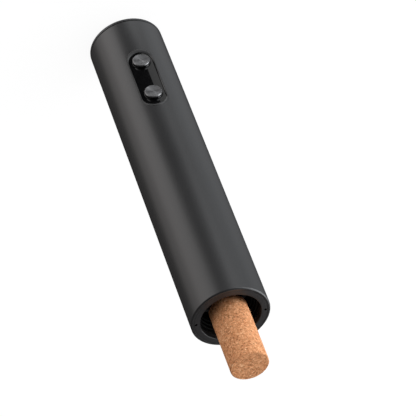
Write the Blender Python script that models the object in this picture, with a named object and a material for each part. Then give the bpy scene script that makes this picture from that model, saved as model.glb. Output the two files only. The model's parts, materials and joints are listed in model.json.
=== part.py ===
"""Cordless electric wine opener, with the drawn cork still on its worm.

The opener stands on its closed end: the origin is the centre of that flat face, +Z runs up the
barrel to the mouth, and the two push buttons face -Y.  A geared motor turns the worm.  A right-hand
worm that turns positively about +Z draws the cork down into the barrel.
"""

import math

import bmesh
import bpy
from mathutils import Vector

MM = 0.001
TURN = 2 * math.pi

# ---------------------------------------------------------------- driving dimensions (metres)
BODY_LENGTH = 233.8 * MM
BARREL_RADIUS = 23.25 * MM
BARREL_WALL = 1.5 * MM
MOUTH_CHAMFER = 0.7 * MM
BASE_CHAMFER = 0.3 * MM

SEAT_GAP = 0.3 * MM  # between two pieces that touch
RUNNING_GAP = 0.15 * MM  # between a shaft and the hole that it turns in

CAP_THICKNESS = 2.0 * MM
CAP_EDGE = 0.7 * MM
CAP_PLUG_DEPTH = 3.5 * MM
CAP_PLUG_WALL = 1.4 * MM
PILLAR_RADIUS = 1.8 * MM
PILLAR_SPREAD = 6.0 * MM

RING_HEIGHT = 4.0 * MM
MOUTH_RADIUS = 17.8 * MM
RING_EDGE = 0.35 * MM
SPANNER_HOLE_RADIUS = 0.8 * MM
SPANNER_HOLE_DEPTH = 2.5 * MM
SPANNER_HOLE_CIRCLE = 20.2 * MM

NECK_RADIUS = 15.6 * MM
GUIDE_LENGTH = 17.8 * MM
GUIDE_STEPS = 3
GUIDE_STEP_HEIGHT = 2.4 * MM
GUIDE_FLANGE = 1.6 * MM
GUIDE_WALL = 1.5 * MM
GUIDE_FLOOR = 2.0 * MM
SEAL_HEIGHT = 1.6 * MM
SEAL_WIDTH = 1.8 * MM

CORK_ROOM = 1.75 * MM  # round the drawn cork in its chamber
SLEEVE_WALL = 1.4 * MM
SLEEVE_LENGTH = 54.0 * MM
SLEEVE_FLANGE = 2.0 * MM
SLEEVE_FLOOR_HOLE = 6.4 * MM
GRIP_RIBS = 3
GRIP_RIB_WIDTH = 1.6 * MM
GRIP_RIB_GAP = 0.35 * MM

CORK_RADIUS = 11.15 * MM
CORK_LENGTH = 44.0 * MM
CORK_PROUD = 37.0 * MM
CORK_EDGE = 0.35 * MM
CORK_END_SKIN = 3.2 * MM  # solid cork left past the deepest point of the worm's hole

WORM_PITCH = 9.0 * MM
WORM_WIRE = 1.5 * MM
WORM_COIL = 3.2 * MM
WORM_TIP_DEPTH = 3.0 * MM  # how far inside the mouth the point stays
WORM_TAPER_TURNS = 0.8
WORM_SPREAD_TURNS = 0.5
WORM_BORE_GAP = 0.5 * MM
SHANK_RADIUS = 2.0 * MM
SHANK_LENGTH = 8.0 * MM

HUB_RADIUS = 5.5 * MM
HUB_HEIGHT = 10.0 * MM
SPINDLE_RADIUS = 3.9 * MM
PIN_RADIUS = 0.8 * MM

BEARING_OUTER = 8.0 * MM
BEARING_WIDTH = 5.0 * MM
BEARING_RACE = 1.2 * MM
BALL_RADIUS = 1.3 * MM
BALL_COUNT = 6
CAGE_WALL = 0.4 * MM
CAGE_HEIGHT = 1.0 * MM

COVER_FLANGE = 3.0 * MM
COVER_NECK = 4.0 * MM
COVER_FLOOR = 4.0 * MM

GEAR_MODULE = 0.5 * MM
SUN_TEETH = 12
PLANET_TEETH = 15
PLANETS = 3
STAGES = 3
PRESSURE_ANGLE = math.radians(20)
TOOTH_THINNING = 0.09 * MM  # taken off each tooth's thickness for backlash
PLANET_WIDTH = 5.0 * MM
CARRIER_PLATE = 1.8 * MM
STAGE_GAP = 0.3 * MM
PLANET_PIN = 0.95 * MM
RING_GEAR_WALL = 2.9 * MM
MOTOR_PLATE = 2.0 * MM

MOTOR_RADIUS = 12.2 * MM
MOTOR_LENGTH = 31.0 * MM
MOTOR_WALL = 0.8 * MM
MOTOR_SHAFT = 1.0 * MM
MOTOR_BELL = 3.2 * MM
MOTOR_BUSH = 3.0 * MM
MAGNET_THICKNESS = 2.0 * MM
ROTOR_AIR_GAP = 0.5 * MM
ROTOR_LENGTH = 17.0 * MM
ROTOR_POLES = 3
MOTOR_SCREW_CIRCLE = 8.0 * MM
TERMINAL_SPREAD = 6.5 * MM

BATTERY_RADIUS = 9.1 * MM
BATTERY_LENGTH = 65.0 * MM
BATTERY_OFFSET = 5.0 * MM
BATTERY_BASE = 17.0 * MM
BATTERY_TAB = 0.4 * MM

FRAME_WALL = 1.4 * MM
FRAME_RIB = 1.6 * MM
BOARD_PLATE = 1.4 * MM
BOARD_THICKNESS = 1.2 * MM
BOARD_HALF_WIDTH = 9.5 * MM
BOARD_BASE = 31.0 * MM
BOARD_MARGIN = 12.5 * MM  # past the last button's centre, towards the mouth

BUTTON_RADIUS = 5.5 * MM
BUTTON_SPACING = 28.5 * MM
BUTTON_BASE = 40.4 * MM  # the eject button's centre, from the closed end
BUTTON_PROUD = 1.35 * MM  # above the barrel's surface
BUTTON_EDGE = 0.45 * MM
BUTTON_GAP = 0.3 * MM
BUTTON_TRAVEL = 0.6 * MM
BUTTON_LIP = 1.1 * MM
BUTTON_LIP_HEIGHT = 0.9 * MM

BEZEL_WIDTH = 1.6 * MM
BEZEL_END = 3.2 * MM  # how much further the opening runs past the buttons' own ends
WINDOW_GAP = 0.9 * MM  # between a button and the bezel
LENS_DEPTH = 1.65 * MM  # of the glossy strip below the barrel's surface
LENS_THICKNESS = 1.3 * MM
BEZEL_FLANGE = 1.6 * MM

SWITCH_SIDE = 6.0 * MM
SWITCH_HEIGHT = 3.0 * MM
PLUNGER_RADIUS = 1.6 * MM
PLUNGER_STROKE_ROOM = 0.9 * MM

USB_HALF_WIDTH = 4.5 * MM
USB_HEIGHT = 3.2 * MM
USB_DEPTH = 7.3 * MM
USB_WALL = 0.45 * MM
CHARGE_BOARD_HALF_WIDTH = 9.0 * MM
CHARGE_BOARD_DEPTH = 13.0 * MM

SCREW_HEAD = 1.8 * MM
SCREW_HEAD_HEIGHT = 1.2 * MM
SCREW_SHANK = 1.0 * MM
FLANGE_SCREWS = 3
LEAD_RADIUS = 0.6 * MM

FINE = 48  # sides of the large round pieces
MEDIUM = 28
SMALL = 16
TINY = 8
COIL_STEPS = 12  # to each turn of the worm
COIL_SIDES = 7

# ---------------------------------------------------------------- places that follow
INNER_RADIUS = BARREL_RADIUS - BARREL_WALL
CORE_RADIUS = INNER_RADIUS - SEAT_GAP  # of everything that slides into the barrel

RING_TOP = BODY_LENGTH
RING_BASE = RING_TOP - RING_HEIGHT
GUIDE_TOP = RING_BASE - SEAT_GAP
GUIDE_BASE = GUIDE_TOP - GUIDE_LENGTH
SLEEVE_TOP = GUIDE_BASE - SEAT_GAP
SLEEVE_BASE = SLEEVE_TOP - SLEEVE_LENGTH
COVER_TOP = SLEEVE_BASE - SEAT_GAP
COVER_BASE = COVER_TOP - COVER_FLANGE - COVER_NECK - COVER_FLOOR
BEARING_TOP = COVER_TOP - SEAT_GAP
BEARING_BASE = BEARING_TOP - BEARING_WIDTH

RING_TEETH = SUN_TEETH + 2 * PLANET_TEETH
STAGE_HEIGHT = PLANET_WIDTH + STAGE_GAP + CARRIER_PLATE + STAGE_GAP
RING_GEAR_TOP = COVER_BASE - SEAT_GAP
RING_GEAR_BASE = RING_GEAR_TOP - STAGES * STAGE_HEIGHT - 2 * STAGE_GAP
RING_GEAR_RADIUS = GEAR_MODULE * RING_TEETH / 2 + 1.2 * GEAR_MODULE + RING_GEAR_WALL
PLANET_CIRCLE = GEAR_MODULE * (SUN_TEETH + PLANET_TEETH) / 2
MOTOR_PLATE_BASE = RING_GEAR_BASE - SEAT_GAP - MOTOR_PLATE
MOTOR_TOP = MOTOR_PLATE_BASE - SEAT_GAP
MOTOR_BASE = MOTOR_TOP - MOTOR_LENGTH
BELL_BASE = MOTOR_BASE - MOTOR_BELL

HUB_BASE = SLEEVE_BASE + SLEEVE_FLANGE + SEAT_GAP
HUB_TOP = HUB_BASE + HUB_HEIGHT
SHANK_BASE = HUB_TOP - SHANK_LENGTH
WORM_TIP = BODY_LENGTH - WORM_TIP_DEPTH

SLEEVE_RADIUS = CORK_RADIUS + CORK_ROOM
CORK_TOP = BODY_LENGTH + CORK_PROUD
CORK_BASE = CORK_TOP - CORK_LENGTH

BATTERY_TOP = BATTERY_BASE + BATTERY_LENGTH
BUTTON_PLACES = {"eject": BUTTON_BASE, "draw": BUTTON_BASE + BUTTON_SPACING}
BOARD_TOP = BUTTON_BASE + BUTTON_SPACING + BOARD_MARGIN
WINDOW_MIDDLE = BUTTON_BASE + BUTTON_SPACING / 2
WINDOW_RADIUS = BUTTON_RADIUS + WINDOW_GAP
WINDOW_REACH = BUTTON_SPACING / 2 + BEZEL_END
LENS_RADIUS = BARREL_RADIUS - LENS_DEPTH
LENS_BACK = LENS_RADIUS - LENS_THICKNESS

# Depths below are distances in front of the axis, towards -Y.
BUTTON_FACE = BARREL_RADIUS + BUTTON_PROUD
LIP_RADIUS = BUTTON_RADIUS + BUTTON_LIP
LIP_FRONT = math.sqrt(LENS_BACK**2 - LIP_RADIUS**2) - SEAT_GAP
LIP_BACK = LIP_FRONT - BUTTON_LIP_HEIGHT
PLUNGER_FRONT = LIP_BACK - SEAT_GAP
SWITCH_FRONT = PLUNGER_FRONT - PLUNGER_STROKE_ROOM
SWITCH_BACK = SWITCH_FRONT - SWITCH_HEIGHT
BOARD_FRONT = SWITCH_BACK - SEAT_GAP
BOARD_BACK = BOARD_FRONT - BOARD_THICKNESS
PLATE_FRONT = BOARD_BACK - SEAT_GAP
PLATE_BACK = PLATE_FRONT - BOARD_PLATE


# ---------------------------------------------------------------- scene and materials
def clear_scene():
    for thing in list(bpy.data.objects):
        bpy.data.objects.remove(thing, do_unlink=True)


def material(name, colour, roughness, metallic=0.0):
    made = bpy.data.materials.new(name)
    made.use_nodes = True
    shader = made.node_tree.nodes["Principled BSDF"]
    shader.inputs["Base Color"].default_value = (*colour, 1.0)
    shader.inputs["Roughness"].default_value = roughness
    shader.inputs["Metallic"].default_value = metallic
    return made


def make_materials():
    return {
        "barrel": material("barrel_anodised", (0.085, 0.085, 0.09), 0.42, 0.75),
        "trim": material("trim_plastic", (0.05, 0.05, 0.052), 0.5),
        "inner": material("inner_plastic", (0.018, 0.018, 0.018), 0.4),
        "lens": material("gloss_strip", (0.006, 0.006, 0.007), 0.08),
        "button": material("spun_metal", (0.28, 0.28, 0.29), 0.3, 1.0),
        "rubber": material("seal_rubber", (0.03, 0.03, 0.03), 0.75),
        "cork": material("pressed_cork", (0.55, 0.33, 0.18), 0.85),
        "worm": material("coated_worm", (0.05, 0.05, 0.055), 0.35, 0.6),
        "steel": material("steel", (0.55, 0.55, 0.56), 0.3, 1.0),
        "brass": material("brass", (0.65, 0.48, 0.2), 0.35, 1.0),
        "gear": material("gear_nylon", (0.8, 0.78, 0.7), 0.5),
        "frame": material("frame_plastic", (0.1, 0.1, 0.11), 0.6),
        "board": material("circuit_board", (0.02, 0.16, 0.06), 0.45),
        "chip": material("chip_resin", (0.015, 0.015, 0.016), 0.5),
        "cell": material("cell_sleeve", (0.05, 0.2, 0.5), 0.35),
        "magnet": material("ferrite", (0.06, 0.06, 0.06), 0.8),
        "copper": material("copper_winding", (0.7, 0.32, 0.15), 0.4, 1.0),
        "red": material("lead_red", (0.6, 0.02, 0.02), 0.45),
        "black": material("lead_black", (0.02, 0.02, 0.02), 0.45),
    }


# ---------------------------------------------------------------- shape helpers
def add_object(name, points, faces, finish=None):
    """A mesh object with its faces pointing out, smooth where the sides meet at a shallow angle."""
    mesh = bpy.data.meshes.new(name)
    mesh.from_pydata([tuple(p) for p in points], [], faces)
    work = bmesh.new()
    work.from_mesh(mesh)
    bmesh.ops.recalc_face_normals(work, faces=work.faces)
    work.to_mesh(mesh)
    work.free()
    mesh.shade_smooth()
    mesh.set_sharp_from_angle(angle=math.radians(32))
    made = bpy.data.objects.new(name, mesh)
    bpy.context.scene.collection.objects.link(made)
    if finish is not None:
        mesh.materials.append(finish)
    return made


def turned(name, outline, sides, finish=None, centre=(0.0, 0.0)):
    """A turned piece about +Z: outline is a closed loop of (radius, height), on the axis or off it."""
    points, rings = [], []
    for radius, height in outline:
        if radius < 1e-9:
            rings.append([len(points)] * sides)
            points.append((centre[0], centre[1], height))
            continue
        rings.append(list(range(len(points), len(points) + sides)))
        for k in range(sides):
            angle = TURN * (k + 0.5) / sides
            across = (centre[0] + radius * math.cos(angle), centre[1] + radius * math.sin(angle))
            points.append((*across, height))
    faces = []
    for i, low in enumerate(rings):
        high = rings[(i + 1) % len(rings)]
        if low[0] == low[1] and high[0] == high[1]:
            continue
        for k in range(sides):
            n = (k + 1) % sides
            corners = [low[k], low[n], high[n], high[k]]
            faces.append(list(dict.fromkeys(corners)))
    return add_object(name, points, faces, finish)


def rod(name, radius, low, high, sides, finish=None, centre=(0.0, 0.0)):
    return turned(name, [(0, low), (radius, low), (radius, high), (0, high)], sides, finish, centre)


def ring(name, inner, outer, low, high, sides, finish=None, centre=(0.0, 0.0)):
    outline = [(inner, low), (outer, low), (outer, high), (inner, high)]
    return turned(name, outline, sides, finish, centre)


def prism(name, outline, low, high, finish=None, place=lambda a, b, height: (a, b, height)):
    """An outline of (a, b) points extruded from low to high; place maps them to the object's axes."""
    count = len(outline)
    points = [place(a, b, height) for height in (low, high) for a, b in outline]
    faces = [list(range(count)), list(range(count, 2 * count))]
    faces += [[k, (k + 1) % count, count + (k + 1) % count, count + k] for k in range(count)]
    return add_object(name, points, faces, finish)


def facing_front(a, b, depth):
    """Places an outline that is drawn across the front: a is X, b is Z, and depth runs to -Y."""
    return (a, -depth, b)


def facing_side(a, b, across):
    """Places an outline that is drawn in the YZ plane, extruded along X."""
    return (across, a, b)


def block(name, low, high, finish=None):
    outline = [(low[0], low[1]), (high[0], low[1]), (high[0], high[1]), (low[0], high[1])]
    return prism(name, outline, low[2], high[2], finish)


def pill(half_width, half_length, middle, steps):
    """A slot outline with round ends, long in Z."""
    outline = []
    for end, start in ((half_length, 0.0), (-half_length, math.pi)):
        for k in range(steps + 1):
            angle = start + math.pi * k / steps
            across = half_width * math.cos(angle)
            outline.append((across, middle + end + half_width * math.sin(angle)))
    return outline


def circle(radius, sides, centre=(0.0, 0.0)):
    angles = (TURN * (k + 0.5) / sides for k in range(sides))
    return [(centre[0] + radius * math.cos(a), centre[1] + radius * math.sin(a)) for a in angles]


def helper(thing):
    """Marks a cutter or a shape that is joined into another, so that it is no piece of its own."""
    thing.hide_render = True
    thing.display_type = "WIRE"
    return thing


def combine(thing, other, operation):
    modifier = thing.modifiers.new(operation.lower() + "_" + other.name, "BOOLEAN")
    modifier.operation = operation
    modifier.solver = "EXACT"
    modifier.object = helper(other)
    return thing


def cut(thing, *others):
    for other in others:
        combine(thing, other, "DIFFERENCE")
    return thing


def join(thing, *others):
    for other in others:
        combine(thing, other, "UNION")
    return thing


def keep_inside(thing, other):
    return combine(thing, other, "INTERSECT")


def swept(name, route, radii, turns_out, sides, finish=None):
    """A round bar along a route of points; turns_out gives the direction that its section starts from."""
    points, faces = [], []
    count = len(route)
    for i, here in enumerate(route):
        along = (route[min(i + 1, count - 1)] - route[max(i - 1, 0)]).normalized()
        out = (turns_out[i] - along * along.dot(turns_out[i])).normalized()
        side = along.cross(out)
        for k in range(sides):
            angle = TURN * k / sides
            points.append(here + radii[i] * (out * math.cos(angle) + side * math.sin(angle)))
    for i in range(count - 1):
        for k in range(sides):
            n = (k + 1) % sides
            low, high = i * sides, (i + 1) * sides
            faces.append([low + k, low + n, high + n, high + k])
    faces.append(list(range(sides)))
    faces.append(list(range((count - 1) * sides, count * sides)))
    return add_object(name, points, faces, finish)


# ---------------------------------------------------------------- casing
def barrel_shell(name, inner, outer, sides=FINE):
    """A tube about the barrel's axis, taller than the window, that gives front pieces their curve."""
    low = WINDOW_MIDDLE - WINDOW_REACH - 3 * WINDOW_RADIUS
    high = WINDOW_MIDDLE + WINDOW_REACH + 3 * WINDOW_RADIUS
    return ring(name, inner, outer, low, high, sides)


def window_prism(name, growth, back, front, steps=9):
    outline = pill(WINDOW_RADIUS + growth, WINDOW_REACH, WINDOW_MIDDLE, steps)
    return prism(name, outline, back, front, place=facing_front)


def usb_outline(growth):
    middle = usb_middle()
    radius = USB_HEIGHT / 2 + growth
    reach = USB_HALF_WIDTH + growth - radius
    outline = []
    for side, start in ((reach, -math.pi / 2), (-reach, math.pi / 2)):
        for k in range(7):
            angle = start + math.pi * k / 6
            outline.append((side + radius * math.cos(angle), middle + radius * math.sin(angle)))
    return outline


def charge_board_base():
    return CAP_THICKNESS + CAP_PLUG_DEPTH + 2 * SEAT_GAP


def usb_middle():
    return charge_board_base() + BOARD_THICKNESS + SEAT_GAP + USB_HEIGHT / 2


def make_barrel(finishes):
    low, high = CAP_THICKNESS + SEAT_GAP, BODY_LENGTH
    outline = [
        (INNER_RADIUS, low),
        (BARREL_RADIUS - BASE_CHAMFER, low),
        (BARREL_RADIUS, low + BASE_CHAMFER),
        (BARREL_RADIUS, high - MOUTH_CHAMFER),
        (BARREL_RADIUS - MOUTH_CHAMFER, high),
        (INNER_RADIUS, high),
    ]
    barrel = turned("barrel", outline, FINE, finishes["barrel"])
    window = window_prism("barrel_window", BEZEL_WIDTH + SEAT_GAP, 0, 2 * BARREL_RADIUS)
    port = prism("barrel_port", usb_outline(SEAT_GAP), 0, -2 * BARREL_RADIUS, place=facing_front)
    return cut(barrel, window, port)


def make_end_cap(finishes):
    plug = CORE_RADIUS
    top = CAP_THICKNESS + CAP_PLUG_DEPTH
    outline = [
        (0, 0),
        (BARREL_RADIUS - CAP_EDGE, 0),
        (BARREL_RADIUS, CAP_EDGE),
        (BARREL_RADIUS, CAP_THICKNESS),
        (plug, CAP_THICKNESS),
        (plug, top),
        (plug - CAP_PLUG_WALL, top),
        (plug - CAP_PLUG_WALL, CAP_THICKNESS),
        (0, CAP_THICKNESS),
    ]
    cap = turned("end_cap", outline, FINE, finishes["trim"])
    depth = charge_board_middle()
    for side in (-1, 1):
        place = (side * PILLAR_SPREAD, depth)
        low, high = CAP_THICKNESS / 2, charge_board_base() - SEAT_GAP
        join(cap, rod(f"cap_pillar_{side}", PILLAR_RADIUS, low, high, SMALL, centre=place))
    return cap


def charge_board_middle():
    return CORE_RADIUS - SEAT_GAP - USB_DEPTH / 2 - CHARGE_BOARD_DEPTH / 2


def make_mouth_ring(finishes):
    outline = [
        (MOUTH_RADIUS, RING_BASE),
        (CORE_RADIUS, RING_BASE),
        (CORE_RADIUS, RING_TOP),
        (MOUTH_RADIUS + RING_EDGE, RING_TOP),
        (MOUTH_RADIUS, RING_TOP - RING_EDGE),
    ]
    made = turned("mouth_ring", outline, FINE, finishes["trim"])
    for side in (-1, 1):
        low = RING_TOP - SPANNER_HOLE_DEPTH
        place = (side * SPANNER_HOLE_CIRCLE, 0)
        hole = rod(f"spanner_hole_{side}", SPANNER_HOLE_RADIUS, low, RING_TOP + MM, TINY, centre=place)
        cut(made, hole)
    return made


def make_neck_guide(finishes):
    """Stepped funnel that centres the bottle's neck; its floor carries the soft ring."""
    floor_hole = SLEEVE_RADIUS
    step = (MOUTH_RADIUS - SEAT_GAP - NECK_RADIUS) / GUIDE_STEPS
    top_radius = MOUTH_RADIUS - SEAT_GAP
    outer = [
        (floor_hole, GUIDE_BASE),
        (CORE_RADIUS, GUIDE_BASE),
        (CORE_RADIUS, GUIDE_BASE + GUIDE_FLANGE),
        (NECK_RADIUS + GUIDE_WALL, GUIDE_BASE + GUIDE_FLANGE),
        (NECK_RADIUS + GUIDE_WALL, GUIDE_TOP - GUIDE_STEPS * GUIDE_STEP_HEIGHT - GUIDE_FLANGE),
        (top_radius + GUIDE_WALL, GUIDE_TOP - GUIDE_STEPS * GUIDE_STEP_HEIGHT),
        (top_radius + GUIDE_WALL, GUIDE_TOP - GUIDE_FLANGE),
        (CORE_RADIUS, GUIDE_TOP - GUIDE_FLANGE),
        (CORE_RADIUS, GUIDE_TOP),
    ]
    inner = []
    for k in range(GUIDE_STEPS):
        radius = top_radius - k * step
        inner.append((radius, GUIDE_TOP - k * GUIDE_STEP_HEIGHT))
        inner.append((radius, GUIDE_TOP - (k + 1) * GUIDE_STEP_HEIGHT))
    inner.append((NECK_RADIUS, GUIDE_TOP - GUIDE_STEPS * GUIDE_STEP_HEIGHT))
    inner.append((NECK_RADIUS, GUIDE_BASE + GUIDE_FLOOR))
    inner.append((floor_hole, GUIDE_BASE + GUIDE_FLOOR))
    return turned("neck_guide", outer + inner, MEDIUM, finishes["inner"])


def make_neck_seal(finishes):
    low = GUIDE_BASE + GUIDE_FLOOR + SEAT_GAP
    outer = NECK_RADIUS - SEAT_GAP
    return ring("neck_seal", outer - SEAL_WIDTH, outer, low, low + SEAL_HEIGHT, MEDIUM, finishes["rubber"])


def flange_screw_circle():
    return (SLEEVE_RADIUS + SLEEVE_WALL + CORE_RADIUS) / 2


def flange_screw_places():
    reach = flange_screw_circle()
    angles = [math.pi / 2 + TURN * k / FLANGE_SCREWS for k in range(FLANGE_SCREWS)]
    return [(reach * math.cos(a), reach * math.sin(a)) for a in angles]


def make_cork_sleeve(finishes):
    """Chamber that the cork is drawn into; three ribs stop it from turning with the worm."""
    wall = SLEEVE_RADIUS + SLEEVE_WALL
    outline = [
        (SLEEVE_FLOOR_HOLE, SLEEVE_BASE),
        (CORE_RADIUS, SLEEVE_BASE),
        (CORE_RADIUS, SLEEVE_BASE + SLEEVE_FLANGE),
        (wall, SLEEVE_BASE + SLEEVE_FLANGE),
        (wall, SLEEVE_TOP - SLEEVE_FLANGE),
        (CORE_RADIUS, SLEEVE_TOP - SLEEVE_FLANGE),
        (CORE_RADIUS, SLEEVE_TOP),
        (SLEEVE_RADIUS, SLEEVE_TOP),
        (SLEEVE_RADIUS, SLEEVE_BASE + SLEEVE_FLANGE),
        (SLEEVE_FLOOR_HOLE, SLEEVE_BASE + SLEEVE_FLANGE),
    ]
    sleeve = turned("cork_sleeve", outline, MEDIUM, finishes["inner"])
    inside, outside = CORK_RADIUS + GRIP_RIB_GAP, SLEEVE_RADIUS + SLEEVE_WALL / 2
    low, high = SLEEVE_BASE + SLEEVE_FLANGE / 2, SLEEVE_TOP - SLEEVE_FLANGE
    for k in range(GRIP_RIBS):
        angle = math.pi / 2 + TURN * (k + 0.5) / GRIP_RIBS
        along = Vector((math.cos(angle), math.sin(angle)))
        across = Vector((-along.y, along.x)) * GRIP_RIB_WIDTH / 2
        corners = [along * inside - across, along * outside - across,
                   along * outside + across, along * inside + across]
        join(sleeve, prism(f"grip_rib_{k}", [tuple(c) for c in corners], low, high))
    for k, place in enumerate(flange_screw_places()):
        hole = rod(f"sleeve_screw_hole_{k}", SCREW_SHANK + SEAT_GAP, SLEEVE_BASE - MM,
                   SLEEVE_BASE + SLEEVE_FLANGE + MM, TINY, centre=place)
        cut(sleeve, hole)
    return sleeve


# ---------------------------------------------------------------- worm, spindle and cork
def coil_point(height, radius=WORM_COIL):
    """A point on the worm's right-hand helix, and the direction that points away from its axis."""
    angle = TURN * height / WORM_PITCH
    out = Vector((math.cos(angle), math.sin(angle), 0))
    return out * radius + Vector((0, 0, height)), out


def make_worm(finishes):
    step = WORM_PITCH / COIL_STEPS
    low, high = HUB_TOP, WORM_TIP
    spread, taper = WORM_SPREAD_TURNS * WORM_PITCH, WORM_TAPER_TURNS * WORM_PITCH
    route, radii, outs = [], [], []
    _, start = coil_point(low)
    for height in (SHANK_BASE, low - step):
        route.append(Vector((0, 0, height)))
        radii.append(SHANK_RADIUS)
        outs.append(start)
    count = round((high - low) / step)
    for k in range(count + 1):
        height = low + (high - low) * k / count
        opening = min(1.0, (height - low) / spread)
        point, out = coil_point(height, WORM_COIL * opening * opening * (3 - 2 * opening))
        left = min(1.0, (high - height) / taper)
        route.append(point)
        radii.append(WORM_WIRE * (0.12 + 0.88 * math.sqrt(left)))
        outs.append(out)
    worm = swept("worm", route, radii, outs, COIL_SIDES, finishes["worm"])
    return cut(worm, pin_rod("worm_pin_hole", PIN_RADIUS + RUNNING_GAP, 2 * SHANK_RADIUS))


def pin_height():
    return (SHANK_BASE + HUB_TOP) / 2


def pin_rod(name, radius, reach, finish=None):
    """The cross pin's shape, along X, halfway up the worm's shank."""
    outline = circle(radius, TINY, (0, pin_height()))
    return prism(name, outline, -reach, reach, finish, place=facing_side)


def make_worm_pin(finishes):
    return pin_rod("worm_pin", PIN_RADIUS, HUB_RADIUS, finishes["steel"])


def make_cork(finishes):
    outline = [
        (0, CORK_BASE),
        (CORK_RADIUS - CORK_EDGE, CORK_BASE),
        (CORK_RADIUS, CORK_BASE + CORK_EDGE),
        (CORK_RADIUS, CORK_TOP - CORK_EDGE),
        (CORK_RADIUS - CORK_EDGE, CORK_TOP),
        (0, CORK_TOP),
    ]
    cork = turned("cork", outline, MEDIUM, finishes["cork"])
    low, high = CORK_BASE - WORM_PITCH / 2, CORK_TOP - CORK_END_SKIN
    count = round((high - low) / WORM_PITCH * COIL_STEPS)
    route, outs = [], []
    for k in range(count + 1):
        point, out = coil_point(low + (high - low) * k / count)
        route.append(point)
        outs.append(out)
    radii = [WORM_WIRE + WORM_BORE_GAP] * (count + 1)
    return cut(cork, swept("cork_worm_hole", route, radii, outs, COIL_SIDES))


# ---------------------------------------------------------------- bearing and gearbox
def make_bearing(finishes):
    middle = (BEARING_BASE + BEARING_TOP) / 2
    inner = SPINDLE_RADIUS + RUNNING_GAP
    pitch = (inner + BEARING_RACE + BEARING_OUTER - BEARING_RACE) / 2
    groove = BALL_RADIUS + RUNNING_GAP

    def race(name, back, front):
        """front is the side that faces the balls."""
        half = math.sqrt(groove**2 - (pitch - front) ** 2)
        steps = 3
        spread = math.asin(half / groove)
        side = math.copysign(1, front - pitch)
        arc = [spread * (2 * k / steps - 1) for k in range(steps + 1)]
        groove_points = [
            (pitch + side * groove * math.cos(a), middle + groove * math.sin(a)) for a in arc
        ]
        outline = [(back, BEARING_BASE), (front, BEARING_BASE), *groove_points,
                   (front, BEARING_TOP), (back, BEARING_TOP)]
        return turned(name, outline, SMALL, finishes["steel"])

    race("bearing_inner_race", inner, pitch - BALL_RADIUS * 0.75)
    race("bearing_outer_race", BEARING_OUTER, pitch + BALL_RADIUS * 0.75)
    half = CAGE_WALL / 2
    cage = ring("bearing_balls", pitch - half, pitch + half, middle - CAGE_HEIGHT / 2,
                middle + CAGE_HEIGHT / 2, SMALL, finishes["steel"])
    for k in range(BALL_COUNT):
        angle = TURN * (k + 0.5) / BALL_COUNT
        place = (pitch * math.cos(angle), pitch * math.sin(angle))
        arc = [math.pi * (i / 4 - 0.5) for i in range(5)]
        outline = [(BALL_RADIUS * math.cos(a), middle + BALL_RADIUS * math.sin(a)) for a in arc]
        outline[0], outline[-1] = (0, middle - BALL_RADIUS), (0, middle + BALL_RADIUS)
        join(cage, turned(f"ball_{k}", outline, COIL_SIDES, centre=place))
    return cage


def involute(angle):
    return math.tan(angle) - angle


def tooth_half_angle(teeth, radius, thickening):
    """Half the angle that a tooth fills at a radius; thickening is added to its width at the pitch line."""
    pitch = GEAR_MODULE * teeth / 2
    base = pitch * math.cos(PRESSURE_ANGLE)
    at = math.acos(min(1.0, base / radius))
    half = math.pi / (2 * teeth) + thickening / (2 * pitch)
    return half + involute(PRESSURE_ANGLE) - involute(at)


def gear_outline(teeth, tip, root, thickening, phase):
    """Teeth with straight flanks between the involute's ends; the first tooth's centre is at phase."""
    outline = []
    for k in range(teeth):
        middle = phase + TURN * k / teeth
        flank = [(r, tooth_half_angle(teeth, r, thickening)) for r in (root, tip)]
        for radius, half in flank:
            outline.append((radius * math.cos(middle - half), radius * math.sin(middle - half)))
        for radius, half in reversed(flank):
            outline.append((radius * math.cos(middle + half), radius * math.sin(middle + half)))
    return outline


def external_outline(teeth, phase):
    pitch = GEAR_MODULE * teeth / 2
    tip, root = pitch + 0.88 * GEAR_MODULE, pitch - 1.2 * GEAR_MODULE
    return gear_outline(teeth, tip, root, -TOOTH_THINNING, phase)


def planet_angle(index):
    return math.pi / 2 + TURN * index / PLANETS


def sun_phase():
    """Turns a sun so that it meshes with the planets that planet_phase has turned."""
    first = planet_angle(0)
    return first + (first * RING_TEETH / TURN + PLANET_TEETH / 2) * TURN / SUN_TEETH


def planet_phase(angle):
    """Turns a planet so that it meshes with the ring gear, whose first tooth is on +X."""
    share = angle * RING_TEETH / TURN + 0.5
    return angle - share * TURN / PLANET_TEETH


def planet_place(index):
    angle = planet_angle(index)
    return (PLANET_CIRCLE * math.cos(angle), PLANET_CIRCLE * math.sin(angle))


def stage_base(stage):
    """Height of the underside of a stage's planets; stage 0 is next to the motor."""
    return RING_GEAR_BASE + STAGE_GAP + stage * STAGE_HEIGHT


def make_ring_gear(finishes):
    pitch = GEAR_MODULE * RING_TEETH / 2
    made = rod("ring_gear", RING_GEAR_RADIUS, RING_GEAR_BASE, RING_GEAR_TOP, MEDIUM, finishes["steel"])
    space = gear_outline(RING_TEETH, pitch + 1.2 * GEAR_MODULE, pitch - 0.85 * GEAR_MODULE,
                         TOOTH_THINNING, math.pi / RING_TEETH)
    return cut(made, prism("ring_gear_space", space, RING_GEAR_BASE - MM, RING_GEAR_TOP + MM))


def make_planets(stage, finishes):
    low = stage_base(stage)
    finish = finishes["gear"] if stage == 0 else finishes["steel"]
    for index in range(PLANETS):
        angle = planet_angle(index)
        name = f"planet_{stage + 1}_{'abc'[index]}"
        outline = external_outline(PLANET_TEETH, planet_phase(angle))
        place = planet_place(index)
        made = prism(name, outline, low, low + PLANET_WIDTH, finish)
        hole = circle((PLANET_PIN + RUNNING_GAP) / math.cos(math.pi / TINY), TINY)
        cut(made, prism(name + "_hole", hole, low - MM, low + PLANET_WIDTH + MM))
        for thing in (made, bpy.data.objects[name + "_hole"]):
            thing.location = (*place, 0)


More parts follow.
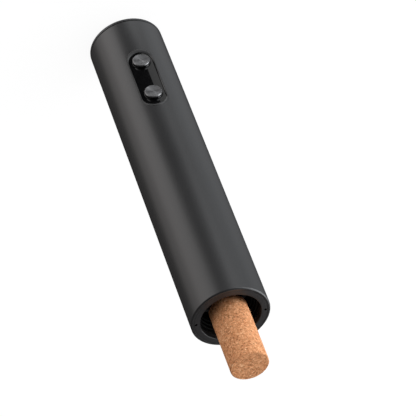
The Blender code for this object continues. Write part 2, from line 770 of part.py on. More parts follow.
def carrier_radius():
    return PLANET_CIRCLE + PLANET_PIN + 1.2 * MM


def make_carrier(stage, finishes):
    """A stage's plate, with the pins that its planets turn on and the next stage's sun on top."""
    low = stage_base(stage) + PLANET_WIDTH + STAGE_GAP
    high = low + CARRIER_PLATE
    name = f"carrier_{stage + 1}" if stage < STAGES - 1 else "output_spindle"
    if stage < STAGES - 1:
        made = rod(name, carrier_radius(), low, high, SMALL + 4, finishes["steel"])
        sun_top = stage_base(stage + 1) + PLANET_WIDTH
        sun = prism(f"sun_{stage + 2}", external_outline(SUN_TEETH, sun_phase()), high - MM / 2, sun_top)
        join(made, sun)
    else:
        made = make_spindle(name, low, high, finishes)
    for index in range(PLANETS):
        pin = rod(f"{name}_pin_{index}", PLANET_PIN, stage_base(stage), low + MM / 2, TINY,
                  centre=planet_place(index))
        join(made, pin)
    return made


def make_spindle(name, low, high, finishes):
    """Last carrier, spindle and the hub that holds the worm's shank, turned as one piece."""
    bore = (SHANK_RADIUS + RUNNING_GAP) / math.cos(math.pi / SMALL)
    outline = [
        (0, low),
        (carrier_radius(), low),
        (carrier_radius(), high),
        (SPINDLE_RADIUS, high),
        (SPINDLE_RADIUS, HUB_BASE),
        (HUB_RADIUS, HUB_BASE),
        (HUB_RADIUS, HUB_TOP),
        (bore, HUB_TOP),
        (bore, SHANK_BASE - SEAT_GAP),
        (0, SHANK_BASE - SEAT_GAP),
    ]
    made = turned(name, outline, SMALL, finishes["steel"])
    return cut(made, pin_rod("hub_pin_hole", PIN_RADIUS + RUNNING_GAP, 2 * HUB_RADIUS))


def make_gearbox_cover(finishes):
    body = RING_GEAR_RADIUS
    seat = (BEARING_OUTER + RUNNING_GAP) / math.cos(math.pi / MEDIUM)
    hole = SPINDLE_RADIUS + 4 * RUNNING_GAP
    flange = COVER_TOP - COVER_FLANGE
    outline = [
        (hole, COVER_BASE),
        (body, COVER_BASE),
        (body, flange),
        (CORE_RADIUS, flange),
        (CORE_RADIUS, COVER_TOP),
        (seat, COVER_TOP),
        (seat, BEARING_BASE - SEAT_GAP),
        (hole, BEARING_BASE - SEAT_GAP),
    ]
    cover = turned("gearbox_cover", outline, MEDIUM, finishes["steel"])
    for k, place in enumerate(flange_screw_places()):
        hole = rod(f"cover_screw_hole_{k}", SCREW_SHANK + SEAT_GAP, flange - MM, COVER_TOP + MM,
                   TINY, centre=place)
        cut(cover, hole)
    return cover


def make_flange_screws(finishes):
    """Screws that hold the cork sleeve down on the gearbox cover."""
    seat = SLEEVE_BASE + SLEEVE_FLANGE + SEAT_GAP
    for k, place in enumerate(flange_screw_places()):
        outline = [
            (0, COVER_TOP - COVER_FLANGE),
            (SCREW_SHANK, COVER_TOP - COVER_FLANGE),
            (SCREW_SHANK, seat),
            (SCREW_HEAD, seat),
            (SCREW_HEAD, seat + SCREW_HEAD_HEIGHT),
            (0, seat + SCREW_HEAD_HEIGHT),
        ]
        turned(f"flange_screw_{k + 1}", outline, TINY, finishes["steel"], place)


def motor_screw_places():
    return [(-MOTOR_SCREW_CIRCLE, 0), (MOTOR_SCREW_CIRCLE, 0)]


def make_motor_plate(finishes):
    low, high = MOTOR_PLATE_BASE, MOTOR_PLATE_BASE + MOTOR_PLATE
    plate = ring("motor_plate", MOTOR_BUSH + SEAT_GAP, RING_GEAR_RADIUS, low, high, MEDIUM, finishes["steel"])
    for k, place in enumerate(motor_screw_places()):
        floor = high - SCREW_HEAD_HEIGHT - SEAT_GAP
        shank, head = SCREW_SHANK + SEAT_GAP, SCREW_HEAD + SEAT_GAP
        outline = [(0, low - MM), (shank, low - MM), (shank, floor), (head, floor),
                   (head, high + MM), (0, high + MM)]
        cut(plate, turned(f"plate_sink_{k}", outline, TINY, centre=place))
    return plate


def make_motor_screws(finishes):
    high = MOTOR_PLATE_BASE + MOTOR_PLATE
    seat, tip = high - SCREW_HEAD_HEIGHT, MOTOR_TOP - 2 * MOTOR_WALL
    for side, place in zip(("left", "right"), motor_screw_places()):
        outline = [(0, tip), (SCREW_SHANK, tip), (SCREW_SHANK, seat), (SCREW_HEAD, seat),
                   (SCREW_HEAD, high), (0, high)]
        turned(f"motor_screw_{side}", outline, TINY, finishes["steel"], place)


# ---------------------------------------------------------------- motor
def make_motor(finishes):
    can_inner = MOTOR_RADIUS - MOTOR_WALL
    bush_hole = MOTOR_SHAFT + 3 * RUNNING_GAP
    outline = [
        (can_inner, MOTOR_BASE),
        (MOTOR_RADIUS, MOTOR_BASE),
        (MOTOR_RADIUS, MOTOR_TOP),
        (MOTOR_BUSH, MOTOR_TOP),
        (MOTOR_BUSH, MOTOR_PLATE_BASE + MOTOR_PLATE),
        (bush_hole, MOTOR_PLATE_BASE + MOTOR_PLATE),
        (bush_hole, MOTOR_TOP - MOTOR_WALL),
        (can_inner, MOTOR_TOP - MOTOR_WALL),
    ]
    can = turned("motor_can", outline, MEDIUM, finishes["steel"])
    for k, place in enumerate(motor_screw_places()):
        hole = rod(f"can_hole_{k}", SCREW_SHANK + SEAT_GAP, MOTOR_TOP - MM, MOTOR_TOP + MM, TINY,
                   centre=place)
        cut(can, hole)

    shaft_hole = MOTOR_SHAFT + RUNNING_GAP
    bell_top = MOTOR_BASE + MOTOR_WALL
    bell = [
        (shaft_hole + RUNNING_GAP, BELL_BASE),
        (MOTOR_RADIUS, BELL_BASE),
        (MOTOR_RADIUS, MOTOR_BASE - SEAT_GAP),
        (can_inner - SEAT_GAP, MOTOR_BASE - SEAT_GAP),
        (can_inner - SEAT_GAP, bell_top),
        (shaft_hole + RUNNING_GAP, bell_top),
    ]
    turned("motor_end_bell", bell, MEDIUM, finishes["inner"])

    magnet_outer = can_inner - SEAT_GAP
    magnet_inner = magnet_outer - MAGNET_THICKNESS
    middle = (MOTOR_BASE + MOTOR_TOP) / 2
    half = ROTOR_LENGTH / 2
    ring("motor_magnet", magnet_inner, magnet_outer, middle - half - MM, middle + half + MM, MEDIUM,
         finishes["magnet"])
    make_rotor(magnet_inner - ROTOR_AIR_GAP, middle, half, finishes)


def make_rotor(radius, middle, half, finishes):
    """Shaft, commutator and three-pole core, as one piece."""
    commutator = 2.6 * MOTOR_SHAFT
    commutator_low = MOTOR_BASE + MOTOR_WALL + SEAT_GAP
    top = stage_base(0) + PLANET_WIDTH
    outline = [
        (0, BELL_BASE + SEAT_GAP),
        (MOTOR_SHAFT, BELL_BASE + SEAT_GAP),
        (MOTOR_SHAFT, commutator_low),
        (commutator, commutator_low),
        (commutator, middle - half - MM),
        (MOTOR_SHAFT, middle - half - MM),
        (MOTOR_SHAFT, top),
        (0, top),
    ]
    rotor = turned("motor_rotor", outline, TINY, finishes["steel"])
    core = []
    waist, open_share = 0.45 * radius, 0.42
    for k in range(ROTOR_POLES):
        start = TURN * k / ROTOR_POLES
        sweep = TURN / ROTOR_POLES
        arc = [start + sweep * (open_share / 2 + (1 - open_share) * i / 4) for i in range(5)]
        core.append((waist * math.cos(start), waist * math.sin(start)))
        core += [(radius * math.cos(a), radius * math.sin(a)) for a in arc]
    return join(rotor, prism("rotor_core", core, middle - half, middle + half))


def make_pinion(finishes):
    low = stage_base(0)
    made = prism("motor_pinion", external_outline(SUN_TEETH, sun_phase()), low, low + PLANET_WIDTH,
                 finishes["brass"])
    bore = circle((MOTOR_SHAFT + RUNNING_GAP) / math.cos(math.pi / TINY), TINY)
    return cut(made, prism("pinion_bore", bore, low - MM, low + PLANET_WIDTH + MM))


# ---------------------------------------------------------------- frame, cell and boards
def half_disc(radius, steps, back):
    """Half of a round outline behind the plane y = SEAT_GAP / 2 (back) or in front of it."""
    start = 0.0 if back else math.pi
    edge = SEAT_GAP / 2 if back else -SEAT_GAP / 2
    lift = math.asin(abs(edge) / radius)
    sweep = math.pi - 2 * lift
    return [
        (radius * math.cos(start + lift + sweep * k / steps),
         radius * math.sin(start + lift + sweep * k / steps))
        for k in range(steps + 1)
    ]


def frame_bulkheads():
    """(underside, thickness) of each cross wall of the rear frame, from the closed end up."""
    motor_rib = MOTOR_LENGTH / 4
    return [
        (BATTERY_BASE - BATTERY_TAB - 3 * SEAT_GAP - FRAME_RIB, FRAME_RIB),
        (BATTERY_BASE + BATTERY_LENGTH / 3, FRAME_RIB),
        (BATTERY_BASE + 2 * BATTERY_LENGTH / 3, FRAME_RIB),
        (MOTOR_BASE + motor_rib, FRAME_RIB),
        (MOTOR_TOP - motor_rib, FRAME_RIB),
    ]


def make_rear_frame(finishes):
    """Half shell behind the cell and motor, with cross walls that cradle them."""
    low = frame_bulkheads()[0][0]
    high = COVER_TOP - COVER_FLANGE - SEAT_GAP
    outer = half_disc(CORE_RADIUS, MEDIUM // 2, back=True)
    inner = half_disc(CORE_RADIUS - FRAME_WALL, MEDIUM // 2, back=True)
    shell = prism("rear_frame", outer + inner[::-1], low, high, finishes["frame"])
    for k, (base, thickness) in enumerate(frame_bulkheads()):
        wall = prism(f"bulkhead_{k}", half_disc(CORE_RADIUS - FRAME_WALL / 2, MEDIUM // 2, back=True),
                     base, base + thickness)
        join(shell, wall)
    cell = rod("frame_cell_space", BATTERY_RADIUS + SEAT_GAP,
               BATTERY_BASE - BATTERY_TAB - 2 * SEAT_GAP, BATTERY_TOP + MM, MEDIUM,
               centre=(0, BATTERY_OFFSET))
    motor = rod("frame_motor_space", MOTOR_RADIUS + SEAT_GAP, BELL_BASE - MM, high + MM, MEDIUM)
    return cut(shell, cell, motor)


def carrier_span():
    return BATTERY_BASE, BATTERY_TOP


def make_board_carrier(finishes):
    """Flat plate behind the circuit board, with half-moon walls that hold the cell from in front."""
    low, high = carrier_span()
    half = BOARD_HALF_WIDTH + BOARD_PLATE
    plate = block("board_carrier", (-half, -PLATE_FRONT, low), (half, -PLATE_BACK, high), finishes["frame"])
    walls = [(low, FRAME_RIB), (WINDOW_MIDDLE - FRAME_RIB / 2, FRAME_RIB), (high - FRAME_RIB, FRAME_RIB)]
    middle = PLATE_BACK + BOARD_PLATE / 2
    for k, (base, thickness) in enumerate(walls):
        disc = half_disc(CORE_RADIUS, MEDIUM // 2, back=False)
        wall = prism(f"half_moon_{k}", disc, base, base + thickness)
        room = block(f"half_moon_room_{k}", (-2 * CORE_RADIUS, -2 * CORE_RADIUS, base - MM),
                     (2 * CORE_RADIUS, -middle, base + thickness + MM))
        join(plate, cut(wall, room))
    cell = rod("carrier_cell_space", BATTERY_RADIUS + SEAT_GAP, low - MM, high + MM, MEDIUM,
               centre=(0, BATTERY_OFFSET))
    cut(plate, cell)
    for k, place in enumerate(board_screw_places()):
        cut(plate, prism(f"plate_screw_hole_{k}", circle(SCREW_SHANK + SEAT_GAP, TINY, place),
                         PLATE_BACK - MM, PLATE_FRONT + MM, place=facing_front))
    return plate


def board_screw_places():
    """(x, z) of the board's two screws, beside the strip between the buttons."""
    reach = BOARD_HALF_WIDTH - SCREW_HEAD - 0.6 * MM
    offset = BUTTON_SPACING / 4
    return [(-reach, WINDOW_MIDDLE + offset), (reach, WINDOW_MIDDLE - offset)]


def make_circuit_board(finishes):
    low, high = BOARD_BASE, BOARD_TOP
    board = block("circuit_board", (-BOARD_HALF_WIDTH, -BOARD_FRONT, low),
                  (BOARD_HALF_WIDTH, -BOARD_BACK, high), finishes["board"])
    for k, place in enumerate(board_screw_places()):
        cut(board, prism(f"board_screw_hole_{k}", circle(SCREW_SHANK + SEAT_GAP, TINY, place),
                         BOARD_BACK - MM, BOARD_FRONT + MM, place=facing_front))
    return board


def make_board_screws(finishes):
    seat = BOARD_FRONT + SEAT_GAP
    for side, place in zip(("upper", "lower"), board_screw_places()):
        name = f"board_screw_{side}"
        head = prism(name, circle(SCREW_HEAD, TINY, place), seat, seat + SCREW_HEAD_HEIGHT,
                     finishes["steel"], place=facing_front)
        shank = prism(name + "_shank", circle(SCREW_SHANK, TINY, place), PLATE_BACK, seat + MM / 2,
                      place=facing_front)
        join(head, shank)


def make_chip(finishes):
    front = BOARD_FRONT + SEAT_GAP
    half = 2.5 * MM
    block("control_chip", (-half, -front - 1.2 * MM, WINDOW_MIDDLE - half),
          (half, -front, WINDOW_MIDDLE + half), finishes["chip"])


def make_battery(finishes):
    base, top = BATTERY_BASE, BATTERY_TOP
    nub, edge = 2.8 * MM, 0.6 * MM
    shoulder = top - 0.9 * MM
    outline = [
        (0, base),
        (BATTERY_RADIUS - edge, base),
        (BATTERY_RADIUS, base + edge),
        (BATTERY_RADIUS, shoulder - edge),
        (BATTERY_RADIUS - edge, shoulder),
        (nub, shoulder),
        (nub, top),
        (0, top),
    ]
    place = (0, BATTERY_OFFSET)
    turned("battery_cell", outline, MEDIUM, finishes["cell"], place)
    half = 3.0 * MM
    for name, low in (("battery_tab_positive", top + SEAT_GAP),
                      ("battery_tab_negative", base - SEAT_GAP - BATTERY_TAB)):
        front = BATTERY_OFFSET - BATTERY_RADIUS
        block(name, (-half, front, low), (half, BATTERY_OFFSET + half, low + BATTERY_TAB),
              finishes["steel"])


def make_charge_board(finishes):
    low = charge_board_base()
    middle = charge_board_middle()
    half = CHARGE_BOARD_DEPTH / 2
    block("charge_board", (-CHARGE_BOARD_HALF_WIDTH, middle - half, low),
          (CHARGE_BOARD_HALF_WIDTH, middle + half, low + BOARD_THICKNESS), finishes["board"])
    back = BARREL_RADIUS - BARREL_WALL / 2
    shell = prism("usb_socket", usb_outline(0), USB_DEPTH - back, -back, finishes["steel"],
                  place=facing_front)
    room = prism("usb_room", usb_outline(-USB_WALL), USB_DEPTH - back - 1.0 * MM, -back - MM,
                 place=facing_front)
    half, thin = 0.65 * USB_HALF_WIDTH, 0.35 * MM
    tongue = block("usb_tongue", (-half, back - USB_DEPTH + MM / 2, usb_middle() - thin),
                   (half, back - 1.2 * MM, usb_middle() + thin))
    return join(cut(shell, room), tongue)


# ---------------------------------------------------------------- controls
def make_bezel(finishes):
    """Pill-shaped frame, flush with the barrel, whose flange bears on the inside of the wall."""
    front = 2 * BARREL_RADIUS
    bezel = barrel_shell("panel_bezel", LENS_BACK, BARREL_RADIUS - SEAT_GAP / 5)
    bezel.data.materials.append(finishes["trim"])
    keep_inside(bezel, window_prism("bezel_outside", BEZEL_WIDTH, 0, front))
    flange = barrel_shell("bezel_flange", LENS_BACK, CORE_RADIUS)
    keep_inside(flange, window_prism("flange_outside", BEZEL_WIDTH + BEZEL_FLANGE, 0, front))
    join(bezel, flange)
    return cut(bezel, window_prism("bezel_inside", 0, 0, front))


def make_lens(finishes):
    lens = barrel_shell("panel_strip", LENS_BACK, LENS_RADIUS)
    lens.data.materials.append(finishes["lens"])
    keep_inside(lens, window_prism("strip_outside", -SEAT_GAP, 0, 2 * BARREL_RADIUS))
    for name, height in BUTTON_PLACES.items():
        hole = circle((BUTTON_RADIUS + BUTTON_GAP) / math.cos(math.pi / SMALL), SMALL, (0, height))
        cut(lens, prism(f"strip_hole_{name}", hole, 0, 2 * BARREL_RADIUS, place=facing_front))
    return lens


def make_button(name, height, finishes):
    """Spun cap on a stem, kept in by a lip behind the strip."""
    def profile(outline, piece):
        made = turned(piece, outline, SMALL + 4, finishes["button"])
        made.rotation_euler = (math.pi / 2, 0, 0)
        made.location = (0, 0, height)
        return made

    flat = LIP_BACK
    return profile([
        (0, flat),
        (LIP_RADIUS, flat),
        (LIP_RADIUS, LIP_FRONT),
        (BUTTON_RADIUS, LIP_FRONT),
        (BUTTON_RADIUS, BUTTON_FACE - BUTTON_EDGE),
        (BUTTON_RADIUS - BUTTON_EDGE, BUTTON_FACE),
        (0, BUTTON_FACE),
    ], f"button_{name}")


def make_switch(name, height, finishes):
    half = SWITCH_SIDE / 2
    body = block(f"switch_{name}", (-half, -SWITCH_FRONT, height - half),
                 (half, -SWITCH_BACK, height + half), finishes["chip"])
    well = PLUNGER_RADIUS + RUNNING_GAP * 2
    depth = SWITCH_FRONT - 2 * BUTTON_TRAVEL - SEAT_GAP
    cut(body, prism(f"switch_well_{name}", circle(well, TINY, (0, height)), depth, SWITCH_FRONT + MM,
                    place=facing_front))
    plunger_back = depth + BUTTON_TRAVEL + SEAT_GAP
    plunger = prism(f"switch_plunger_{name}", circle(PLUNGER_RADIUS, TINY), plunger_back,
                    PLUNGER_FRONT, finishes["trim"], place=facing_front)
    plunger.location = (0, 0, height)


# ---------------------------------------------------------------- wiring
def smooth_route(points, count):
    """A Catmull-Rom curve through hand-picked points, read at even steps."""
    ends = [points[0] * 2 - points[1], *points, points[-1] * 2 - points[-2]]
    spans = len(points) - 1
    route = []
    for k in range(count + 1):
        share = spans * k / count
        i = min(int(share), spans - 1)
        t = share - i
        a, b, c, d = ends[i:i + 4]
        route.append(0.5 * (2 * b + (c - a) * t + (2 * a - 5 * b + 4 * c - d) * t * t
                            + (3 * b - a - 3 * c + d) * t**3))
    return route


def make_lead(name, points, finish):
    curve = bpy.data.curves.new(name, "CURVE")
    curve.dimensions = "3D"
    curve.bevel_depth = LEAD_RADIUS
    curve.bevel_resolution = 1
    curve.use_fill_caps = True
    route = smooth_route([Vector(p) for p in points], 4 * (len(points) - 1))
    line = curve.splines.new("POLY")
    line.points.add(len(route) - 1)
    for target, point in zip(line.points, route):
        target.co = (*point, 1)
    curve.materials.append(finish)
    made = bpy.data.objects.new(name, curve)
    bpy.context.scene.collection.objects.link(made)
    return made


def make_leads(finishes):
    pad = BOARD_FRONT + SEAT_GAP + LEAD_RADIUS
    over = BATTERY_TOP + BATTERY_TAB + 2 * SEAT_GAP + LEAD_RADIUS
    crest = max(over + 0.4 * MM, BOARD_TOP + SEAT_GAP + 3 * LEAD_RADIUS)
    terminal = BELL_BASE - SEAT_GAP - LEAD_RADIUS
    for side, name, colour in ((-1, "motor_lead_black", "black"), (1, "motor_lead_red", "red")):
        x = side * TERMINAL_SPREAD
        make_lead(name, [
            (x, 0, terminal),
            (x, -4 * MM, (terminal + over) / 2),
            (x, -(PLATE_BACK + PLATE_FRONT) / 2, crest + 0.2 * MM),
            (x, -pad - 0.8 * MM, BOARD_TOP + 1.2 * MM),
            (x, -pad, BOARD_TOP - 3.5 * MM),
        ], finishes[colour])
    front = BATTERY_OFFSET - BATTERY_RADIUS
    top_tab = BATTERY_TOP + SEAT_GAP + BATTERY_TAB / 2
    low_tab = BATTERY_BASE - SEAT_GAP - BATTERY_TAB / 2
    make_lead("battery_lead_red", [
        (0, front - SEAT_GAP, top_tab + 0.1 * MM),
        (0, front - 3 * MM, max(over, crest - 4 * MM)),
        (0, -(PLATE_BACK + PLATE_FRONT) / 2, crest),
        (0, -pad - 0.8 * MM, BOARD_TOP + 1.2 * MM),
        (0, -pad, BOARD_TOP - 3.5 * MM),
    ], finishes["red"])
    under = BATTERY_BASE - SEAT_GAP - 3 * LEAD_RADIUS
    make_lead("battery_lead_black", [
        (0, front - SEAT_GAP, low_tab),
        (0, front - 3 * MM, under),
        (0, -(PLATE_BACK + PLATE_FRONT) / 2, under),
        (0, -pad - 0.3 * MM, under + 4 * MM),
        (0, -pad - 0.3 * MM, BOARD_BASE - 5 * MM),
        (0, -pad, BOARD_BASE + 3 * MM),
    ], finishes["black"])


# ---------------------------------------------------------------- the opener
def main():
    clear_scene()
    finishes = make_materials()
    make_barrel(finishes)
    make_end_cap(finishes)
    make_mouth_ring(finishes)
    make_neck_guide(finishes)
    make_neck_seal(finishes)
    make_cork_sleeve(finishes)
    make_worm(finishes)
    make_worm_pin(finishes)
    make_cork(finishes)
    make_bearing(finishes)
    make_gearbox_cover(finishes)
    make_ring_gear(finishes)
    make_motor_plate(finishes)
    for stage in range(STAGES):
        make_planets(stage, finishes)
        make_carrier(stage, finishes)
    make_flange_screws(finishes)
    make_motor_screws(finishes)
    make_motor(finishes)
    make_pinion(finishes)
    make_rear_frame(finishes)
    make_board_carrier(finishes)
    make_circuit_board(finishes)
    make_board_screws(finishes)
    make_chip(finishes)
    make_battery(finishes)
    make_charge_board(finishes)
    make_bezel(finishes)
    make_lens(finishes)
    for name, height in BUTTON_PLACES.items():
        make_button(name, height, finishes)
        make_switch(name, height, finishes)
    make_leads(finishes)


main()
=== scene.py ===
import json
import math

import bmesh
import bpy
from mathutils import Matrix, Quaternion, Vector


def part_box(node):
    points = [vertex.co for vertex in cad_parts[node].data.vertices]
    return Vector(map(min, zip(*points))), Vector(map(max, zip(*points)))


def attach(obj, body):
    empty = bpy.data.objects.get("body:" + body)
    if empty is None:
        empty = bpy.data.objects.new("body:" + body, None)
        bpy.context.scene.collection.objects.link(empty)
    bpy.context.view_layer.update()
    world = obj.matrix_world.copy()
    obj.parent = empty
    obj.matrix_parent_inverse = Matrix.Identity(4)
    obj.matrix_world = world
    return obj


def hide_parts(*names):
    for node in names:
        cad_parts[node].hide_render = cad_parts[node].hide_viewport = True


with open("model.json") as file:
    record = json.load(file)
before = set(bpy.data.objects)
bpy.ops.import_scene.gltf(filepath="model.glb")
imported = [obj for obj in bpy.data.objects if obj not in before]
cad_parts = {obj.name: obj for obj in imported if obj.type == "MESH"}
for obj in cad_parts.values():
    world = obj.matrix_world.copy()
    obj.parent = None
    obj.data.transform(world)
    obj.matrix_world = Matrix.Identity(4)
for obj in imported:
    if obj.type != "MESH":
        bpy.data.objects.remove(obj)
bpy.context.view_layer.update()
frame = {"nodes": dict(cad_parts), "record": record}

# %% [markdown]
# # A cordless wine opener
#
# The real object is a dark satin tube that stands on its closed end. Its mouth takes a bottle's neck,
# and a pressed cork is still held in it. A pill-shaped window near the closed end shows a glossy black
# strip with two spun-metal buttons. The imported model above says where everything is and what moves.
# This lesson builds the surfaces that a person sees around it, one piece to a cell.

# %% [markdown]
# ## Measures
#
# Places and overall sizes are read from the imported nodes. Sizes that a node's box doesn't show, such
# as the window's width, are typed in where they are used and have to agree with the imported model. A
# turned node is a polygon whose flats lie on the axes, so half its width is a hair under its radius.

# %% Measures
MM = 0.001
TURN = 2 * math.pi

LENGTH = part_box("barrel")[1].z
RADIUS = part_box("barrel")[1].x
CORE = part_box("neck_guide")[1].x  # the funnel; the frames and the gearbox reach a little further
FLOOR_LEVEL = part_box("end_cap")[0].z


def middle(node):
    low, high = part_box(node)
    return (low + high) / 2


BUTTONS = {"button_draw": middle("button_draw"), "button_eject": middle("button_eject")}
BUTTON_FACE = -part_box("button_draw")[0].y
BUTTON_RADIUS = 5.5 * MM
WINDOW_MIDDLE = middle("panel_strip").z
print(f"barrel {LENGTH / MM:.1f} mm long, {2 * RADIUS / MM:.1f} mm across")

# %% [markdown]
# ## Camera
#
# A long lens from about 1.3 m keeps the tube's sides nearly parallel, as in a catalogue picture. The
# camera looks down into the mouth and is rolled, so that the mouth comes out at the lower right. It is
# placed from an aim point on the tube by three angles and a distance, which are easy to change.

# %% Camera
AZIMUTH, ELEVATION, ROLL = math.radians(13.82), math.radians(41.93), math.radians(158.43)
DISTANCE = 1.365
LENS_MM = 203.76
AIM = Vector((-0.0088, -0.0078, 0.669 * LENGTH))


def direction(azimuth, elevation):
    """From the aim point towards a camera; azimuth 0 is in front, on -Y."""
    level = math.cos(elevation)
    return Vector((math.sin(azimuth) * level, -math.cos(azimuth) * level, math.sin(elevation)))


def add_camera():
    back = direction(AZIMUTH, ELEVATION)
    data = bpy.data.cameras.new("camera")
    data.lens, data.sensor_width = LENS_MM, 36
    camera = bpy.data.objects.new("camera", data)
    bpy.context.scene.collection.objects.link(camera)
    camera.location = AIM + back * DISTANCE
    camera.rotation_mode = "QUATERNION"
    upright = (-back).to_track_quat("-Z", "Y")
    camera.rotation_quaternion = upright @ Quaternion((0, 0, 1), ROLL)
    bpy.context.scene.camera = camera
    return camera


print("camera at", tuple(round(v, 3) for v in add_camera().location))

# %% [markdown]
# ## Node helpers
#
# A material or a light's pattern is a small tree of nodes. Two helpers keep the trees short: one adds
# a node and fills its sockets, and one makes a material that already has its Principled shader. Values
# that are the same all over a surface are set on the shader itself.

# %% Node helpers


def add_node(tree, kind, settings=None, **sockets):
    """Adds a node. A socket is named with underscores; its value is a number or another node's output."""
    node = tree.nodes.new(kind)
    for key, value in (settings or {}).items():
        setattr(node, key, value)
    for key, value in sockets.items():
        name = key.replace("_", " ")
        found = [s for s in node.inputs if s.name.lower() == name.lower() and s.enabled]
        socket = found[0] if found else node.inputs[int(key.rsplit("_", 1)[1])]
        if isinstance(value, bpy.types.NodeSocket):
            tree.links.new(value, socket)
        else:
            socket.default_value = value
    return node


def add_math(tree, operation, *values):
    node = tree.nodes.new("ShaderNodeMath")
    node.operation = operation
    for socket, value in zip(node.inputs, values):
        if isinstance(value, bpy.types.NodeSocket):
            tree.links.new(value, socket)
        else:
            socket.default_value = value
    return node.outputs[0]


def add_ramp(tree, factor, stops, interpolation="LINEAR"):
    """A colour ramp; stops are (place, colour) pairs, and a colour may be one number for a grey."""
    node = tree.nodes.new("ShaderNodeValToRGB")
    node.color_ramp.interpolation = interpolation
    elements = node.color_ramp.elements
    while len(elements) < len(stops):
        elements.new(0.5)
    for element, (place, _) in zip(elements, stops):
        element.position = place
    for element, (_, colour) in zip(elements, stops):
        grey = isinstance(colour, (int, float))
        element.color = (colour, colour, colour, 1) if grey else (*colour, 1)
    tree.links.new(factor, node.inputs[0])
    return node.outputs[0]


def add_mix(tree, factor, first, second, blend="MIX"):
    node = tree.nodes.new("ShaderNodeMix")
    node.data_type, node.blend_type = "RGBA", blend
    for socket, value in ((node.inputs[0], factor), (node.inputs[6], first), (node.inputs[7], second)):
        if isinstance(value, bpy.types.NodeSocket):
            tree.links.new(value, socket)
        elif isinstance(value, (int, float)):
            socket.default_value = value
        else:
            socket.default_value = (*value, 1)
    return node.outputs[2]


def new_finish(name, **sockets):
    """A material with its Principled shader; sockets are set or linked as in add_node."""
    material = bpy.data.materials.new(name)
    material.use_nodes = True
    tree = material.node_tree
    shader = tree.nodes["Principled BSDF"]
    for key, value in sockets.items():
        shader.inputs[key.replace("_", " ")].default_value = value
    return material, tree, shader


def object_place(tree, scale=(1, 1, 1)):
    """The piece's own coordinates, stretched by scale."""
    place = add_node(tree, "ShaderNodeTexCoord").outputs["Object"]
    return add_node(tree, "ShaderNodeMapping", None, Vector=place, Scale=scale).outputs[0]


def noise(tree, place, scale, detail=3.0, roughness=0.55):
    node = add_node(tree, "ShaderNodeTexNoise", None, Vector=place, Scale=scale, Detail=detail,
                    Roughness=roughness)
    return node.outputs[0]


def bump(tree, shader, height, distance, strength=1.0):
    node = add_node(tree, "ShaderNodeBump", None, Height=height, Distance=distance, Strength=strength)
    tree.links.new(node.outputs[0], shader.inputs["Normal"])


print("node helpers ready")

# %% [markdown]
# ## Floor
#
# The opener stands on a pale floor. The floor glows a little by itself, so it stays nearly white, and
# its diffuse part takes a soft shadow. It is left out of reflections, because a dark tube on a white
# floor would otherwise show the floor in its lower half and lose its long, even bands of light.

# %% Floor
FLOOR_GLOW, FLOOR_SHADED = 0.93, 0.13


def add_floor():
    bpy.ops.mesh.primitive_circle_add(vertices=96, radius=4, fill_type="NGON")
    floor = bpy.context.object
    floor.name = "floor"
    floor.location.z = FLOOR_LEVEL - 0.05 * MM
    material = bpy.data.materials.new("pale_floor")
    material.use_nodes = True
    tree = material.node_tree
    tree.nodes.clear()
    glow = add_node(tree, "ShaderNodeEmission", None, Color=(1, 1, 1, 1), Strength=FLOOR_GLOW)
    grain = noise(tree, object_place(tree), 900)
    shade = add_ramp(tree, grain, [(0.3, FLOOR_SHADED * 0.97), (0.7, FLOOR_SHADED)])
    soft = add_node(tree, "ShaderNodeBsdfDiffuse", None, Color=shade)
    both = add_node(tree, "ShaderNodeAddShader")
    tree.links.new(glow.outputs[0], both.inputs[0])
    tree.links.new(soft.outputs[0], both.inputs[1])
    out = add_node(tree, "ShaderNodeOutputMaterial")
    tree.links.new(both.outputs[0], out.inputs[0])
    floor.data.materials.append(material)
    floor.visible_glossy = floor.visible_diffuse = floor.visible_shadow = False
    return floor


print("floor at", round(add_floor().location.z / MM, 2), "mm")

# %% [markdown]
# ## Light
#
# A round satin tube turns the room into long bands: each strip of its surface mirrors one direction
# round the tube. So the soft boxes are painted on the world's sphere by direction. Below the horizon
# two wide boxes stand left and right with a dark gap between them; above it the light comes mostly
# from the right. Overhead it comes from behind only, which keeps the inside of the mouth black. A small
# card with a sharp edge gives the glossy strip its black half. The camera itself sees plain white.

# %% Light
# (degrees to the right of the camera, brightness)
LOWER_BOXES = [
    (-180, 0.02), (-160, 0.02), (-140, 0.08), (-120, 0.1), (-105, 0.17), (-90, 0.68), (-75, 0.8),
    (-60, 1.42), (-45, 1.57), (-30, 1.5), (-15, 1.26), (0, 0.42), (14, 0.44), (27, 0.86),
    (38, 1.56), (50, 1.34), (65, 1), (82, 0.74), (100, 0.72), (120, 0.49), (140, 0.27), (160, 0.02),
    (180, 0.02),
]
UPPER_BOXES = [
    (-180, 0.1), (-100, 0.15), (-60, 0.3), (-40, 0.2), (30, 0.35), (48, 2.9), (68, 4.7), (100, 4.7),
    (150, 1.2), (180, 0.1),
]
HIGH_BOXES = [(-180, 0.2), (-130, 0.1), (-90, 0.02), (90, 0.02), (130, 0.1), (180, 0.2)]
TOP_BOXES = [(-180, 4.2), (-120, 2.5), (-80, 0.05), (80, 0.05), (120, 2.5), (180, 4.2)]
# degrees above the horizon, where one set fades into the next
FADES = [((-10, 10), UPPER_BOXES), ((25, 40), HIGH_BOXES), ((56, 72), TOP_BOXES)]
CARD_HEIGHT, CARD_HALF_HEIGHT = math.radians(-44.8), math.radians(4.0)
CARD_LEFT, CARD_EDGE, CARD_RIGHT = math.radians(-14), math.radians(38.5), math.radians(68)
CARD_DARK, CARD_LIGHT = 0.02, 0.46
PEAK = 6.0
WARM, COOL = Vector((1.04, 1.0, 0.985)), Vector((0.975, 1.0, 1.03))


